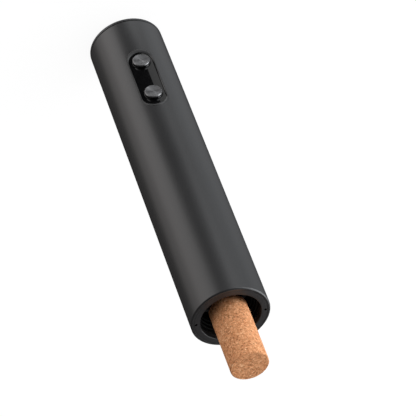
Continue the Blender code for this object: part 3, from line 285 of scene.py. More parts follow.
def band_ramp(tree, share, bands):
    """Brightness by direction; light from the left is a little warm, from the right a little cool."""
    stops = []
    for degrees, brightness in bands:
        tint = WARM.lerp(COOL, 0.5 + 0.5 * math.sin(math.radians(degrees)))
        stops.append(((degrees + 180) / 360, tuple(tint * brightness / PEAK)))
    return add_ramp(tree, share, stops)


def box_mask(tree, value, low, high, soft):
    """1 between low and high, 0 outside, with soft edges."""
    rise = add_node(tree, "ShaderNodeMapRange", None, Value=value, From_Min=low - soft, From_Max=low)
    fall = add_node(tree, "ShaderNodeMapRange", None, Value=value, From_Min=high + soft, From_Max=high)
    return add_math(tree, "MULTIPLY", rise.outputs[0], fall.outputs[0])


def add_world():
    world = bpy.data.worlds.new("studio")
    bpy.context.scene.world = world
    world.use_nodes = True
    tree = world.node_tree
    tree.nodes.clear()
    towards = add_node(tree, "ShaderNodeTexCoord").outputs["Generated"]
    turned = add_node(tree, "ShaderNodeVectorRotate", {"rotation_type": "Z_AXIS"}, Vector=towards,
                      Angle=math.pi / 2 - AZIMUTH).outputs[0]
    apart = add_node(tree, "ShaderNodeSeparateXYZ", None, Vector=turned)
    around = add_math(tree, "MULTIPLY", add_math(tree, "ARCTAN2", apart.outputs["Y"],
                                                 apart.outputs["X"]), -1.0)
    above = add_math(tree, "ARCSINE", apart.outputs["Z"])
    share = add_math(tree, "MULTIPLY_ADD", around, 1 / TURN, 0.5)
    boxes = band_ramp(tree, share, LOWER_BOXES)
    for (low, high), bands in FADES:
        fade = add_node(tree, "ShaderNodeMapRange", {"interpolation_type": "SMOOTHSTEP"}, Value=above,
                        From_Min=math.radians(low), From_Max=math.radians(high))
        boxes = add_mix(tree, fade.outputs[0], boxes, band_ramp(tree, share, bands))
    near = box_mask(tree, above, CARD_HEIGHT - CARD_HALF_HEIGHT, CARD_HEIGHT + CARD_HALF_HEIGHT, 0.03)
    mask = add_math(tree, "MULTIPLY", near, box_mask(tree, around, CARD_LEFT, CARD_RIGHT, 0.1))
    side = add_math(tree, "GREATER_THAN", around, CARD_EDGE)
    card = add_ramp(tree, side, [(0.0, CARD_DARK / PEAK), (1.0, CARD_LIGHT / PEAK)])
    boxes = add_mix(tree, mask, boxes, card)
    lit = add_node(tree, "ShaderNodeBackground", None, Color=boxes, Strength=PEAK)
    plain = add_node(tree, "ShaderNodeBackground", None, Color=(1, 1, 1, 1), Strength=1.0)
    seen = add_node(tree, "ShaderNodeLightPath").outputs["Is Camera Ray"]
    both = add_node(tree, "ShaderNodeMixShader")
    tree.links.new(seen, both.inputs[0])
    tree.links.new(lit.outputs[0], both.inputs[1])
    tree.links.new(plain.outputs[0], both.inputs[2])
    out = add_node(tree, "ShaderNodeOutputWorld")
    tree.links.new(both.outputs[0], out.inputs[0])
    bpy.context.scene.view_settings.view_transform = "Standard"


add_world()
print("soft boxes painted in", len(FADES) + 1, "rings of bands")

# %% [markdown]
# ## Turned pieces
#
# Most of the opener is turned: an outline spun round an axis. Blender could do that with the Screw
# modifier, but a short loop gives clean rings with no doubled points. Corners that a machine would
# break are drawn as small arcs, which catch the light in a thin line.

# %% Turned pieces


def finish_mesh(mesh, sharp_degrees=35):
    work = bmesh.new()
    work.from_mesh(mesh)
    bmesh.ops.recalc_face_normals(work, faces=work.faces)
    work.to_mesh(mesh)
    work.free()
    mesh.shade_smooth()
    mesh.set_sharp_from_angle(angle=math.radians(sharp_degrees))


def new_piece(name, points, faces, material, sharp_degrees=35):
    mesh = bpy.data.meshes.new(name)
    mesh.from_pydata([tuple(p) for p in points], [], faces)
    finish_mesh(mesh, sharp_degrees)
    if material is not None:
        mesh.materials.append(material)
    piece = bpy.data.objects.new(name, mesh)
    bpy.context.scene.collection.objects.link(piece)
    return piece


def upright(radius, height, angle):
    """A point of a piece that is turned about the tube's axis."""
    return (radius * math.cos(angle), radius * math.sin(angle), height)


def turned_points(outline, sides, place=upright):
    """Points and faces of a closed outline of (radius, height) spun round the axis."""
    points, rings, faces = [], [], []
    for radius, height in outline:
        if radius < 1e-9:
            rings.append([len(points)] * sides)
            points.append(place(0, height, 0))
            continue
        rings.append(list(range(len(points), len(points) + sides)))
        points += [place(radius, height, TURN * k / sides) for k in range(sides)]
    for i, low in enumerate(rings):
        high = rings[(i + 1) % len(rings)]
        if low[0] == low[1] and high[0] == high[1]:
            continue
        for k in range(sides):
            n = (k + 1) % sides
            faces.append(list(dict.fromkeys([low[k], low[n], high[n], high[k]])))
    return points, faces


def turned_piece(name, outline, sides, material, place=upright):
    return new_piece(name, *turned_points(outline, sides, place), material)


def rounded(corners, steps=4):
    """Rounds the corners of an outline. Each corner is (radius, height, rounding)."""
    outline = []
    count = len(corners)
    for i, (x, y, rounding) in enumerate(corners):
        here = Vector((x, y))
        if rounding == 0:
            outline.append((x, y))
            continue
        before = Vector(corners[i - 1][:2]) - here
        after = Vector(corners[(i + 1) % count][:2]) - here
        start = here + before.normalized() * rounding
        end = here + after.normalized() * rounding
        for k in range(steps + 1):
            t = k / steps
            point = start * (1 - t) ** 2 + here * 2 * t * (1 - t) + end * t**2
            outline.append(tuple(point))
    return outline


print("a rounded corner has", len(rounded([(0, 0, 0), (1, 0, 0.1), (1, 1, 0)])) - 2, "points")

# %% [markdown]
# ## Cutting
#
# Windows and holes are cut with the Boolean modifier, and the result is read back as a plain mesh. The
# cutter is thrown away, so nothing live is left on the piece.

# %% Cutting


def apply_modifiers(piece):
    """Replaces a piece's mesh by what its modifiers make of it, and takes the modifiers off."""
    bpy.context.view_layer.update()
    view = bpy.context.evaluated_depsgraph_get()
    mesh = bpy.data.meshes.new_from_object(piece.evaluated_get(view))
    piece.modifiers.clear()
    piece.data = mesh
    mesh.name = piece.name
    return piece


def boolean(piece, operation, *cutters, sharp_degrees=35):
    for cutter in cutters:
        modifier = piece.modifiers.new(operation.lower(), "BOOLEAN")
        modifier.operation, modifier.solver, modifier.object = operation, "EXACT", cutter
    apply_modifiers(piece)
    for cutter in cutters:
        bpy.data.objects.remove(cutter)
    piece.data.shade_smooth()
    piece.data.set_sharp_from_angle(angle=math.radians(sharp_degrees))
    return piece


def pill(half_width, half_length, steps=24):
    """A slot's outline with round ends, as (across, up) points from its middle."""
    reach = half_length - half_width
    outline = []
    for end, start in ((reach, 0.0), (-reach, math.pi)):
        for k in range(steps + 1):
            angle = start + math.pi * k / steps
            outline.append((half_width * math.cos(angle), end + half_width * math.sin(angle)))
    return outline


def front_prism(name, outline, near, far, height=WINDOW_MIDDLE):
    """An outline extruded along -Y, from near to far in front of the axis."""
    count = len(outline)
    points = [(x, -depth, height + z) for depth in (near, far) for x, z in outline]
    faces = [list(range(count)), list(range(count, 2 * count))]
    faces += [[k, (k + 1) % count, count + (k + 1) % count, count + k] for k in range(count)]
    return new_piece(name, points, faces, None)


print("a pill outline has", len(pill(8, 25)), "points")

# %% [markdown]
# ## Satin barrel finish
#
# The tube is blasted and dyed dark, which leaves a satin surface: the bands of light are long and
# soft, and close up there is a fine grain. Bright light from the side shows slight unevenness, so a
# slow noise varies the roughness, and a very fine one gives the bump.

# %% Satin barrel finish


def barrel_finish():
    material, tree, shader = new_finish("satin_barrel", Specular_IOR_Level=0.62)
    place = object_place(tree)
    grain = noise(tree, place, 2600, 2.0)
    slow = noise(tree, object_place(tree, (1, 1, 0.35)), 60, 3.0)
    colour = add_ramp(tree, slow, [(0.3, (0.0125, 0.0125, 0.013)), (0.7, (0.0145, 0.0145, 0.015))])
    speckle = add_ramp(tree, grain, [(0.35, 0.9), (0.65, 1.1)])
    tree.links.new(add_mix(tree, 1.0, colour, speckle, "MULTIPLY"), shader.inputs["Base Color"])
    tree.links.new(add_math(tree, "MULTIPLY_ADD", slow, 0.05, 0.27), shader.inputs["Roughness"])
    bump(tree, shader, grain, 0.012 * MM, 0.5)
    return material


SATIN = barrel_finish()
print("made", SATIN.name)

# %% [markdown]
# ## Moulded finishes
#
# The ring, the closed end and the frames are moulded plastic with a fine spark-eroded texture. They
# differ only in colour, gloss and grain, so one function makes them all.

# %% Moulded finishes


def moulded(name, colour, roughness, grain_per_metre=1800, depth=0.02 * MM, specular=0.5):
    material, tree, shader = new_finish(name, Specular_IOR_Level=specular)
    place = object_place(tree)
    cells = add_node(tree, "ShaderNodeTexVoronoi", {"feature": "SMOOTH_F1"}, Vector=place,
                     Scale=grain_per_metre).outputs["Distance"]
    cloud = noise(tree, place, 120)
    dark, light = [tuple(c * k for c in colour) for k in (0.86, 1.12)]
    tree.links.new(add_ramp(tree, cloud, [(0.3, dark), (0.7, light)]), shader.inputs["Base Color"])
    tree.links.new(add_math(tree, "MULTIPLY_ADD", cloud, 0.12, roughness - 0.06),
                   shader.inputs["Roughness"])
    bump(tree, shader, cells, depth, 0.6)
    return material


RING_PLASTIC = moulded("ring_plastic", (0.017, 0.017, 0.018), 0.38)
FUNNEL_PLASTIC = moulded("funnel_plastic", (0.005, 0.005, 0.005), 0.5, 1800, 0.006 * MM, 0.1)
FRAME_PLASTIC = moulded("frame_plastic", (0.09, 0.09, 0.095), 0.6)
CHIP_RESIN = moulded("chip_resin", (0.012, 0.012, 0.013), 0.45, 4000)
SEAL_RUBBER = moulded("seal_rubber", (0.02, 0.02, 0.02), 0.75, 1200, specular=0.3)
GEAR_NYLON = moulded("gear_nylon", (0.72, 0.7, 0.62), 0.45, 900, 0.01 * MM)
FERRITE = moulded("ferrite", (0.045, 0.045, 0.047), 0.85, 3500, 0.03 * MM)
print("made 7 moulded finishes")

# %% [markdown]
# ## Barrel
#
# A tube with a broken edge at the mouth and a tiny one at the closed end. The window for the controls
# is a pill shape cut straight through the front wall, and the charging port is a small slot at the
# back. Cutting with a Boolean keeps the long sides perfectly straight.

# %% Barrel
FINE = 256
CHAMFER = 0.7 * MM
SEAM = 0.12 * MM  # a line of shadow between two parts that meet
WALL = 1.45 * MM
BEZEL_HALF_WIDTH = 8.0 * MM
BEZEL_HALF_LENGTH = 25.45 * MM
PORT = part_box("usb_socket")


def make_barrel():
    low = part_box("barrel")[0].z
    # the bore fits the closed end and the mouth closely, and clears what lies between them
    wide_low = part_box("rear_frame")[0].z - 0.3 * MM
    wide_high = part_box("cork_sleeve")[1].z + 0.2 * MM
    corners = [
        (CORE + SEAM, low, 0),
        (RADIUS - 0.3 * MM, low, 0.1 * MM),
        (RADIUS, low + 0.3 * MM, 0.1 * MM),
        (RADIUS, LENGTH - CHAMFER, 0.22 * MM),
        (RADIUS - CHAMFER, LENGTH, 0.12 * MM),
        (CORE + SEAM, LENGTH, 0.08 * MM),
        (CORE + SEAM, wide_high + 0.3 * MM, 0),
        (RADIUS - WALL, wide_high, 0),
        (RADIUS - WALL, wide_low, 0),
        (CORE + SEAM, wide_low - 0.3 * MM, 0),
    ]
    barrel = turned_piece("barrel_casing", rounded(corners), FINE, SATIN)
    window = front_prism("window", pill(BEZEL_HALF_WIDTH + SEAM, BEZEL_HALF_LENGTH + SEAM), 0, 0.03)
    size = (PORT[1] - PORT[0]) / 2
    slot = pill(size.z + 0.25 * MM, size.x + 0.25 * MM, 12)
    turned_slot = [(z, -x) for x, z in slot]
    port = front_prism("port", turned_slot, 0, -0.03, (PORT[0].z + PORT[1].z) / 2)
    boolean(barrel, "DIFFERENCE", window, port)
    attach(barrel, "housing")
    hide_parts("barrel")
    return barrel


print("barrel:", len(make_barrel().data.polygons), "faces")

# %% [markdown]
# ## Window surround
#
# A thin frame lines the window. It follows the tube's curve, so each of its rings is a pill outline
# laid on a cylinder: the depth of a point comes from how far it is across. The rings run over a low
# bead just proud of the tube, then down a satin bevel to the strip. The bevel is narrow along the
# sides and wide at the two round ends.

# %% Window surround
STRIP_RADIUS = RADIUS - 0.75 * MM
LIP_WIDTH, LIP_END = 0.62 * MM, 2.3 * MM


def opening(inset):
    """The window's outline, drawn in by inset at the sides and by more at the ends."""
    end = inset * LIP_END / LIP_WIDTH
    return pill(BEZEL_HALF_WIDTH - inset, BEZEL_HALF_LENGTH - end)


def pill_on_tube(inset, radius):
    """The drawn-in outline laid on a cylinder of the given radius."""
    return [(x, -math.sqrt(radius**2 - x * x), WINDOW_MIDDLE + z) for x, z in opening(inset)]


def make_surround():
    profile = [
        (0.0, STRIP_RADIUS - 0.6 * MM),
        (0.0, RADIUS),
        (0.05 * MM, RADIUS + 0.1 * MM),
        (0.14 * MM, RADIUS + 0.15 * MM),
        (0.24 * MM, RADIUS + 0.1 * MM),
        (0.34 * MM, RADIUS - 0.02 * MM),
        (LIP_WIDTH - 0.06 * MM, RADIUS - 0.4 * MM),
        (LIP_WIDTH, RADIUS - 0.5 * MM),
        (LIP_WIDTH, STRIP_RADIUS - 0.6 * MM),
    ]
    rings = [pill_on_tube(inset, radius) for inset, radius in profile]
    count = len(rings[0])
    points = [p for ring in rings for p in ring]
    faces = []
    for i in range(len(rings)):
        j = (i + 1) % len(rings)
        for k in range(count):
            n = (k + 1) % count
            faces.append([i * count + k, i * count + n, j * count + n, j * count + k])
    surround = new_piece("window_surround", points, faces, SATIN, 40)
    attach(surround, "housing")
    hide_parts("panel_bezel")
    return surround


print("surround:", len(make_surround().data.polygons), "faces")

# %% [markdown]
# ## Glossy strip
#
# The strip behind the buttons is polished black acrylic, moulded to the tube's curve. A clear coat
# over a black base gives sharp reflections; a faint haze in the roughness keeps them from looking like
# a mirror.

# %% Glossy strip


def gloss_finish():
    material, tree, shader = new_finish("black_acrylic", Coat_Weight=0.6, Coat_Roughness=0.03)
    place = object_place(tree)
    haze = noise(tree, place, 260, 4.0)
    colour = add_ramp(tree, haze, [(0.35, (0.002, 0.002, 0.0023)), (0.7, (0.003, 0.003, 0.0034))])
    tree.links.new(colour, shader.inputs["Base Color"])
    tree.links.new(add_math(tree, "MULTIPLY_ADD", haze, 0.06, 0.05), shader.inputs["Roughness"])
    bump(tree, shader, noise(tree, place, 90, 1.0), 0.01 * MM, 0.3)
    return material


ACRYLIC = gloss_finish()


def make_strip():
    half = BEZEL_HALF_LENGTH
    low, high = WINDOW_MIDDLE - half, WINDOW_MIDDLE + half
    back = STRIP_RADIUS - 1.2 * MM
    outline = [(back, low), (STRIP_RADIUS, low), (STRIP_RADIUS, high), (back, high)]
    strip = turned_piece("gloss_strip", outline, FINE, ACRYLIC)
    inset = LIP_WIDTH + 0.03 * MM
    boolean(strip, "INTERSECT", front_prism("inside", opening(inset), 0, 0.03))
    circle = [(BUTTON_RADIUS + 0.2 * MM, TURN * k / 64) for k in range(64)]
    round_hole = [(r * math.cos(a), r * math.sin(a)) for r, a in circle]
    holes = [front_prism("hole", round_hole, 0, 0.03, centre.z) for centre in BUTTONS.values()]
    boolean(strip, "DIFFERENCE", *holes)
    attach(strip, "housing")
    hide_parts("panel_strip")
    return strip


print("strip:", len(make_strip().data.polygons), "faces")

# %% [markdown]
# ## Spun buttons
#
# Each button is a metal cap faced on a lathe, which leaves fine rings. Rings like that stretch every
# highlight across them, so light fans out from the middle like a bow tie. The Principled shader's
# anisotropy does this once its tangent runs round the button, and the rings are also in the mesh,
# where a shallow wave is spun with the outline.

# %% Spun buttons
GROOVES = 9
GROOVE_DEPTH = 0.025 * MM


def spun_finish(name, colour, roughness, anisotropic, axis, rings_per_metre=7000):
    material, tree, shader = new_finish(name, Metallic=1.0, Anisotropic=anisotropic,
                                        Anisotropic_Rotation=0.25)
    place = object_place(tree)
    smear = noise(tree, place, 500, 4.0)
    dark, light = [tuple(c * k for c in colour) for k in (0.82, 1.1)]
    tree.links.new(add_ramp(tree, smear, [(0.3, dark), (0.7, light)]), shader.inputs["Base Color"])
    tree.links.new(add_math(tree, "MULTIPLY_ADD", smear, 0.1, roughness - 0.05),
                   shader.inputs["Roughness"])
    tangent = add_node(tree, "ShaderNodeTangent", {"direction_type": "RADIAL", "axis": axis})
    tree.links.new(tangent.outputs[0], shader.inputs["Tangent"])
    fine = noise(tree, place, rings_per_metre, 1.0)
    bump(tree, shader, fine, 0.004 * MM, 0.4)
    return material


SPUN_METAL = spun_finish("spun_metal", (0.19, 0.19, 0.193), 0.3, 0.92, "Y")


SKIRT = 0.3 * MM
BUTTON_EDGE = 0.35 * MM


def cap_outline(back):
    radius, face, dish = BUTTON_RADIUS - SKIRT, BUTTON_FACE, 0.14 * MM
    outline = rounded([
        (0, back, 0),
        (radius, back, 0.1 * MM),
        (radius, face - BUTTON_EDGE, 0.08 * MM),
        (radius - BUTTON_EDGE, face, 0.1 * MM),
    ])
    steps = GROOVES * 6
    start = radius - 1.4 * BUTTON_EDGE
    for k in range(steps + 1):
        across = start * (1 - k / steps)
        wave = 0.5 - 0.5 * math.cos(TURN * GROOVES * k / steps)
        outline.append((across, face - dish * (1 - (across / start) ** 2) - GROOVE_DEPTH * wave))
    return outline


def skirt_outline(back):
    inner, outer = BUTTON_RADIUS - SKIRT + 0.02 * MM, BUTTON_RADIUS - 0.08 * MM
    top = BUTTON_FACE - BUTTON_EDGE - 0.05 * MM
    return rounded([(inner, back, 0), (outer, back, 0), (outer, top, 0.1 * MM), (inner, top, 0)])


def make_button(name, body):
    """A spun metal cap in a glossy black skirt."""
    centre = BUTTONS[name]

    def facing_front(radius, depth, angle):
        return (radius * math.cos(angle), -depth, centre.z + radius * math.sin(angle))

    back = STRIP_RADIUS - 2.5 * MM
    cap = turned_piece(name + "_cap", cap_outline(back), 96, SPUN_METAL, facing_front)
    skirt = turned_piece(name + "_skirt", skirt_outline(back), 96, ACRYLIC, facing_front)
    for piece in (cap, skirt):
        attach(piece, body)
        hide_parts(name)
    return cap


for button, body in (("button_draw", "draw_button"), ("button_eject", "eject_button")):
    print(button, len(make_button(button, body).data.polygons), "faces")

# %% [markdown]
# ## Mouth ring
#
# The flat ring in the mouth holds the funnel in. Two small blind holes on opposite sides take a pin
# spanner. Its inner edge is broken with a narrow chamfer.

# %% Mouth ring
MOUTH_RADIUS = 17.8 * MM
HOLE_CIRCLE, HOLE_RADIUS, HOLE_DEPTH = 20.2 * MM, 0.8 * MM, 2.5 * MM


def make_mouth_ring():
    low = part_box("mouth_ring")[0].z
    corners = [
        (MOUTH_RADIUS, low, 0),
        (CORE, low, 0),
        (CORE, LENGTH - 0.04 * MM, 0.06 * MM),
        (MOUTH_RADIUS + 0.25 * MM, LENGTH - 0.04 * MM, 0.06 * MM),
        (MOUTH_RADIUS, LENGTH - 0.3 * MM, 0.06 * MM),
    ]
    collar = turned_piece("mouth_collar", rounded(corners), FINE, RING_PLASTIC)
    drills = []
    for side in (-1, 1):
        def drilled(radius, height, angle, centre=side * HOLE_CIRCLE):
            return (centre + radius * math.cos(angle), radius * math.sin(angle), height)

        outline = [(0, LENGTH - HOLE_DEPTH), (HOLE_RADIUS, LENGTH - HOLE_DEPTH),
                   (HOLE_RADIUS, LENGTH + MM), (0, LENGTH + MM)]
        drills.append(turned_piece("drill", outline, 32, None, drilled))
    boolean(collar, "DIFFERENCE", *drills)
    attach(collar, "housing")
    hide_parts("mouth_ring")
    return collar


print("mouth ring:", len(make_mouth_ring().data.polygons), "faces")

# %% [markdown]
# ## Stepped funnel
#
# Behind the ring a funnel with three steps leads the bottle's neck to the middle. Each step has a
# narrow chamfer, which is what shows as thin rings deep in the mouth.

# %% Stepped funnel
STEPS, STEP_HEIGHT = 3, 2.4 * MM
NECK_RADIUS = 15.6 * MM
FLOOR_HOLE = 12.9 * MM


def make_funnel():
    low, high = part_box("neck_guide")[0].z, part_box("neck_guide")[1].z
    top = MOUTH_RADIUS - 0.3 * MM
    narrowing = (top - NECK_RADIUS) / STEPS
    ledge = high - STEPS * STEP_HEIGHT
    wall, flange = 1.5 * MM, 1.6 * MM
    corners = [
        (FLOOR_HOLE, low, 0),
        (CORE, low, 0.1 * MM),
        (CORE, low + flange, 0.1 * MM),
        (NECK_RADIUS + wall, low + flange, 0.2 * MM),
        (NECK_RADIUS + wall, ledge - flange, 0.2 * MM),
        (top + wall, ledge, 0.2 * MM),
        (top + wall, high - flange, 0.2 * MM),
        (CORE, high - flange, 0.1 * MM),
        (CORE, high, 0.1 * MM),
    ]
    for k in range(STEPS):
        radius = top - k * narrowing
        corners.append((radius, high - k * STEP_HEIGHT, 0.16 * MM))
        corners.append((radius, high - (k + 1) * STEP_HEIGHT + 0.25 * MM, 0.06 * MM))
        corners.append((radius - 0.3 * MM, high - (k + 1) * STEP_HEIGHT, 0.06 * MM))
    corners += [
        (NECK_RADIUS, ledge, 0.16 * MM),
        (NECK_RADIUS, low + 2 * MM, 0.2 * MM),
        (FLOOR_HOLE, low + 2 * MM, 0.2 * MM),
    ]
    funnel = turned_piece("stepped_funnel", rounded(corners, 3), 160, FUNNEL_PLASTIC)
    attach(funnel, "housing")
    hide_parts("neck_guide")
    return funnel


print("funnel:", len(make_funnel().data.polygons), "faces")

# %% [markdown]
# ## Closed end
#
# A shallow cap closes the tube. Its outer edge is rounded so that the opener stands without a sharp
# rim, and a faint turned groove marks the foot ring.

# %% Closed end


def make_closed_end():
    low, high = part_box("end_cap")
    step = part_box("barrel")[0].z - 0.3 * MM
    corners = [
        (0, low.z + 0.25 * MM, 0),
        (16 * MM, low.z + 0.25 * MM, 0.1 * MM),
        (16.4 * MM, low.z, 0.1 * MM),
        (RADIUS - 0.3 * MM, low.z, 0.15 * MM),
        (RADIUS - 0.03 * MM, low.z + 0.3 * MM, 0.15 * MM),
        (RADIUS - 0.03 * MM, step, 0.08 * MM),
        (CORE, step, 0),
        (CORE, high.z - 0.4 * MM, 0.2 * MM),
        (CORE - 1.4 * MM, high.z - 0.4 * MM, 0.2 * MM),
        (CORE - 1.4 * MM, step, 0.2 * MM),
        (0, step, 0),
    ]
    cap = turned_piece("closed_end", rounded(corners), FINE, RING_PLASTIC)
    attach(cap, "housing")
    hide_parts("end_cap")
    return cap


print("closed end:", len(make_closed_end().data.polygons), "faces")

# %% [markdown]
# ## Geometry Nodes helpers
#
# Some shapes repeat, such as the cork's granules. A Geometry Nodes tree says the rule once, with its
# sizes as named inputs. The tree's result is read back as a plain mesh.

# %% Geometry Nodes helpers


def new_tree(name, **inputs):
    """A geometry tree with named number inputs; returns the tree and its two end nodes."""
    tree = bpy.data.node_groups.new(name, "GeometryNodeTree")
    face = tree.interface
    face.new_socket("Geometry", in_out="INPUT", socket_type="NodeSocketGeometry")
    for key, value in inputs.items():
        kind = "NodeSocketInt" if isinstance(value, int) else "NodeSocketFloat"
        socket = face.new_socket(key.replace("_", " "), in_out="INPUT", socket_type=kind)
        socket.default_value = value
    face.new_socket("Geometry", in_out="OUTPUT", socket_type="NodeSocketGeometry")
    return tree, tree.nodes.new("NodeGroupInput"), tree.nodes.new("NodeGroupOutput")


def run_tree(piece, tree, material, **values):
    """Runs a tree on a piece and keeps the result as its plain mesh."""
    modifier = piece.modifiers.new(tree.name, "NODES")
    modifier.node_group = tree
    names = {s.name: s.identifier for s in tree.interface.items_tree if s.in_out == "INPUT"}
    for key, value in values.items():
        modifier[names[key.replace("_", " ")]] = value
    apply_modifiers(piece)
    if not piece.data.materials:
        piece.data.materials.append(material)
    return piece


print("geometry helpers ready")

# %% [markdown]
# ## Pressed cork
#
# A pressed cork is made of granules, half a millimetre to two across, glued together. Voronoi cells
# are a good picture of them: the same cells set the colour in the material and the small hollows in
# the mesh, because both are read from the same coordinates. Each cell gets its own shade, a thin dark
# line runs between cells, and a second, finer set breaks up the large ones.

# %% Pressed cork finish
CORK_LOW, CORK_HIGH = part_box("cork")[0].z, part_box("cork")[1].z
CORK_RADIUS = 11.15 * MM
GRANULES_PER_METRE = 1050.0
CRUMBS_PER_METRE = 2400.0


def cork_finish():
    material, tree, shader = new_finish("pressed_cork", Specular_IOR_Level=0.25)
    place = object_place(tree)
    wobble = add_node(tree, "ShaderNodeTexNoise", None, Vector=place, Scale=1500.0, Detail=2.0)
    shift = add_node(tree, "ShaderNodeVectorMath", {"operation": "MULTIPLY_ADD"},
                     Vector_0=wobble.outputs["Color"], Vector_1=(0.0006, 0.0006, 0.0006))
    tree.links.new(place, shift.inputs[2])
    cells = add_node(tree, "ShaderNodeTexVoronoi", None, Vector=shift.outputs[0],
                     Scale=GRANULES_PER_METRE)
    crumbs = add_node(tree, "ShaderNodeTexVoronoi", None, Vector=shift.outputs[0],
                      Scale=CRUMBS_PER_METRE)
    edges = add_node(tree, "ShaderNodeTexVoronoi", {"feature": "DISTANCE_TO_EDGE"},
                     Vector=shift.outputs[0], Scale=GRANULES_PER_METRE)
    shade = add_node(tree, "ShaderNodeSeparateColor", None, Color=cells.outputs["Color"])
    crumb = add_node(tree, "ShaderNodeSeparateColor", None, Color=crumbs.outputs["Color"])
    granule = add_ramp(tree, shade.outputs[0], [
        (0.0, (0.44, 0.18, 0.074)),
        (0.12, (0.6, 0.262, 0.112)),
        (0.4, (0.72, 0.325, 0.146)),
        (0.75, (0.82, 0.39, 0.184)),
        (1.0, (0.94, 0.51, 0.265)),
    ])
    specks = add_ramp(tree, crumb.outputs[1], [
        (0.0, (0.8, 0.62, 0.5)),
        (0.14, (0.92, 0.82, 0.74)),
        (0.5, (1.0, 1.0, 1.0)),
        (0.85, (1.05, 1.1, 1.14)),
        (1.0, (1.16, 1.42, 1.62)),
    ])
    colour = add_mix(tree, 1.0, granule, specks, "MULTIPLY")
    line = add_ramp(tree, edges.outputs["Distance"], [(0.0, (0.88, 0.76, 0.68)), (0.07, (1.0, 1.0, 1.0))])
    colour = add_mix(tree, 1.0, colour, line, "MULTIPLY")
    fibre = noise(tree, place, 5200, 3.0)
    veil = add_ramp(tree, fibre, [(0.3, 0.86), (0.7, 1.12)])
    tree.links.new(add_mix(tree, 1.0, colour, veil, "MULTIPLY"), shader.inputs["Base Color"])
    tree.links.new(add_math(tree, "MULTIPLY_ADD", shade.outputs[2], 0.2, 0.7),
                   shader.inputs["Roughness"])
    bump(tree, shader, fibre, 0.05 * MM, 0.5)
    return material


CORK = cork_finish()
print("made", CORK.name)

# %% [markdown]
# ## Worm path
#
# The worm is a helix. Its path is needed twice: for the worm itself and for the hole that it has cut
# in the cork, so the path and a function that sweeps a round bar along it come first.

# %% Worm path
WORM_PITCH, WORM_COIL, WORM_WIRE = 9.0 * MM, 3.2 * MM, 1.5 * MM


def coil_point(height, radius=WORM_COIL):
    angle = TURN * height / WORM_PITCH
    return Vector((radius * math.cos(angle), radius * math.sin(angle), height))


def swept_bar(name, route, radii, sides, material):
    """A round bar through a list of points, closed at both ends."""
    points, faces = [], []
    last = len(route) - 1
    for i, here in enumerate(route):
        along = (route[min(i + 1, last)] - route[max(i - 1, 0)]).normalized()
        out = Vector((0, 0, 1)) - along * along.z
        if out.length < 0.05:
            out = Vector((1, 0, 0)) - along * along.x
        out.normalize()
        side = along.cross(out)
        for k in range(sides):
            angle = TURN * k / sides
            points.append(here + radii[i] * (out * math.cos(angle) + side * math.sin(angle)))
    for i in range(last):
        for k in range(sides):
            n = (k + 1) % sides
            faces.append([i * sides + k, i * sides + n, (i + 1) * sides + n, (i + 1) * sides + k])
    faces += [list(range(sides)), list(range(last * sides, (last + 1) * sides))]
    return new_piece(name, points, faces, material)


# %% [markdown]
# The cork's mesh is a dense turned cylinder. The worm has cut a screw-shaped hole in it, which is a
# bar swept along the worm's helix and taken away. Then a Geometry Nodes tree presses each point in a
# little where it lies between granules, and sinks a few whole granules as pits.

# %% Pressed cork


def granule_tree():
    tree, start, end = new_tree("granules", Granules=GRANULES_PER_METRE, Line_depth=0.00007,
                                Pit_depth=0.00011, Skin=0.0009)
    place = tree.nodes.new("GeometryNodeInputPosition").outputs[0]
    cells = add_node(tree, "ShaderNodeTexVoronoi", None, Vector=place, Scale=start.outputs["Granules"])
    edges = add_node(tree, "ShaderNodeTexVoronoi", {"feature": "DISTANCE_TO_EDGE"}, Vector=place,
                     Scale=start.outputs["Granules"])
    near = add_math(tree, "SUBTRACT", 1.0, add_math(tree, "MINIMUM", 1.0, add_math(
        tree, "MULTIPLY", edges.outputs["Distance"], 9.0)))
    line = add_math(tree, "MULTIPLY", near, start.outputs["Line depth"])
    parts = add_node(tree, "ShaderNodeSeparateXYZ", None, Vector=cells.outputs["Color"])
    few = add_math(tree, "LESS_THAN", parts.outputs["X"], 0.09)
    far = add_math(tree, "SUBTRACT", 1.0, near)
    pit = add_math(tree, "MULTIPLY", add_math(tree, "MULTIPLY", few, far), start.outputs["Pit depth"])
    swell = add_math(tree, "MULTIPLY", add_math(tree, "SUBTRACT", parts.outputs["Y"], 0.5), 0.00005)
    depth = add_math(tree, "SUBTRACT", add_math(tree, "ADD", line, pit), swell)
    depth = add_math(tree, "MAXIMUM", depth, 0.0)
    where = add_node(tree, "ShaderNodeSeparateXYZ", None, Vector=place)
    across = add_math(tree, "SQRT", add_math(
        tree, "ADD", add_math(tree, "MULTIPLY", where.outputs["X"], where.outputs["X"]),
        add_math(tree, "MULTIPLY", where.outputs["Y"], where.outputs["Y"])))
    wall = add_math(tree, "GREATER_THAN", across, CORK_RADIUS - 0.0006)
    top = add_math(tree, "GREATER_THAN", where.outputs["Z"], CORK_HIGH - 0.0005)
    skin = add_math(tree, "MAXIMUM", wall, top)
    depth = add_math(tree, "MULTIPLY", depth, skin)
    normal = tree.nodes.new("GeometryNodeInputNormal").outputs[0]
    inward = add_node(tree, "ShaderNodeVectorMath", {"operation": "SCALE"}, Vector=normal,
                      Scale=add_math(tree, "MULTIPLY", depth, -1.0))
    moved = add_node(tree, "GeometryNodeSetPosition", None, Geometry=start.outputs["Geometry"],
                     Offset=inward.outputs[0])
    dressed = add_node(tree, "GeometryNodeSetMaterial", None, Geometry=moved.outputs[0], Material=CORK)
    tree.links.new(dressed.outputs[0], end.inputs[0])
    return tree


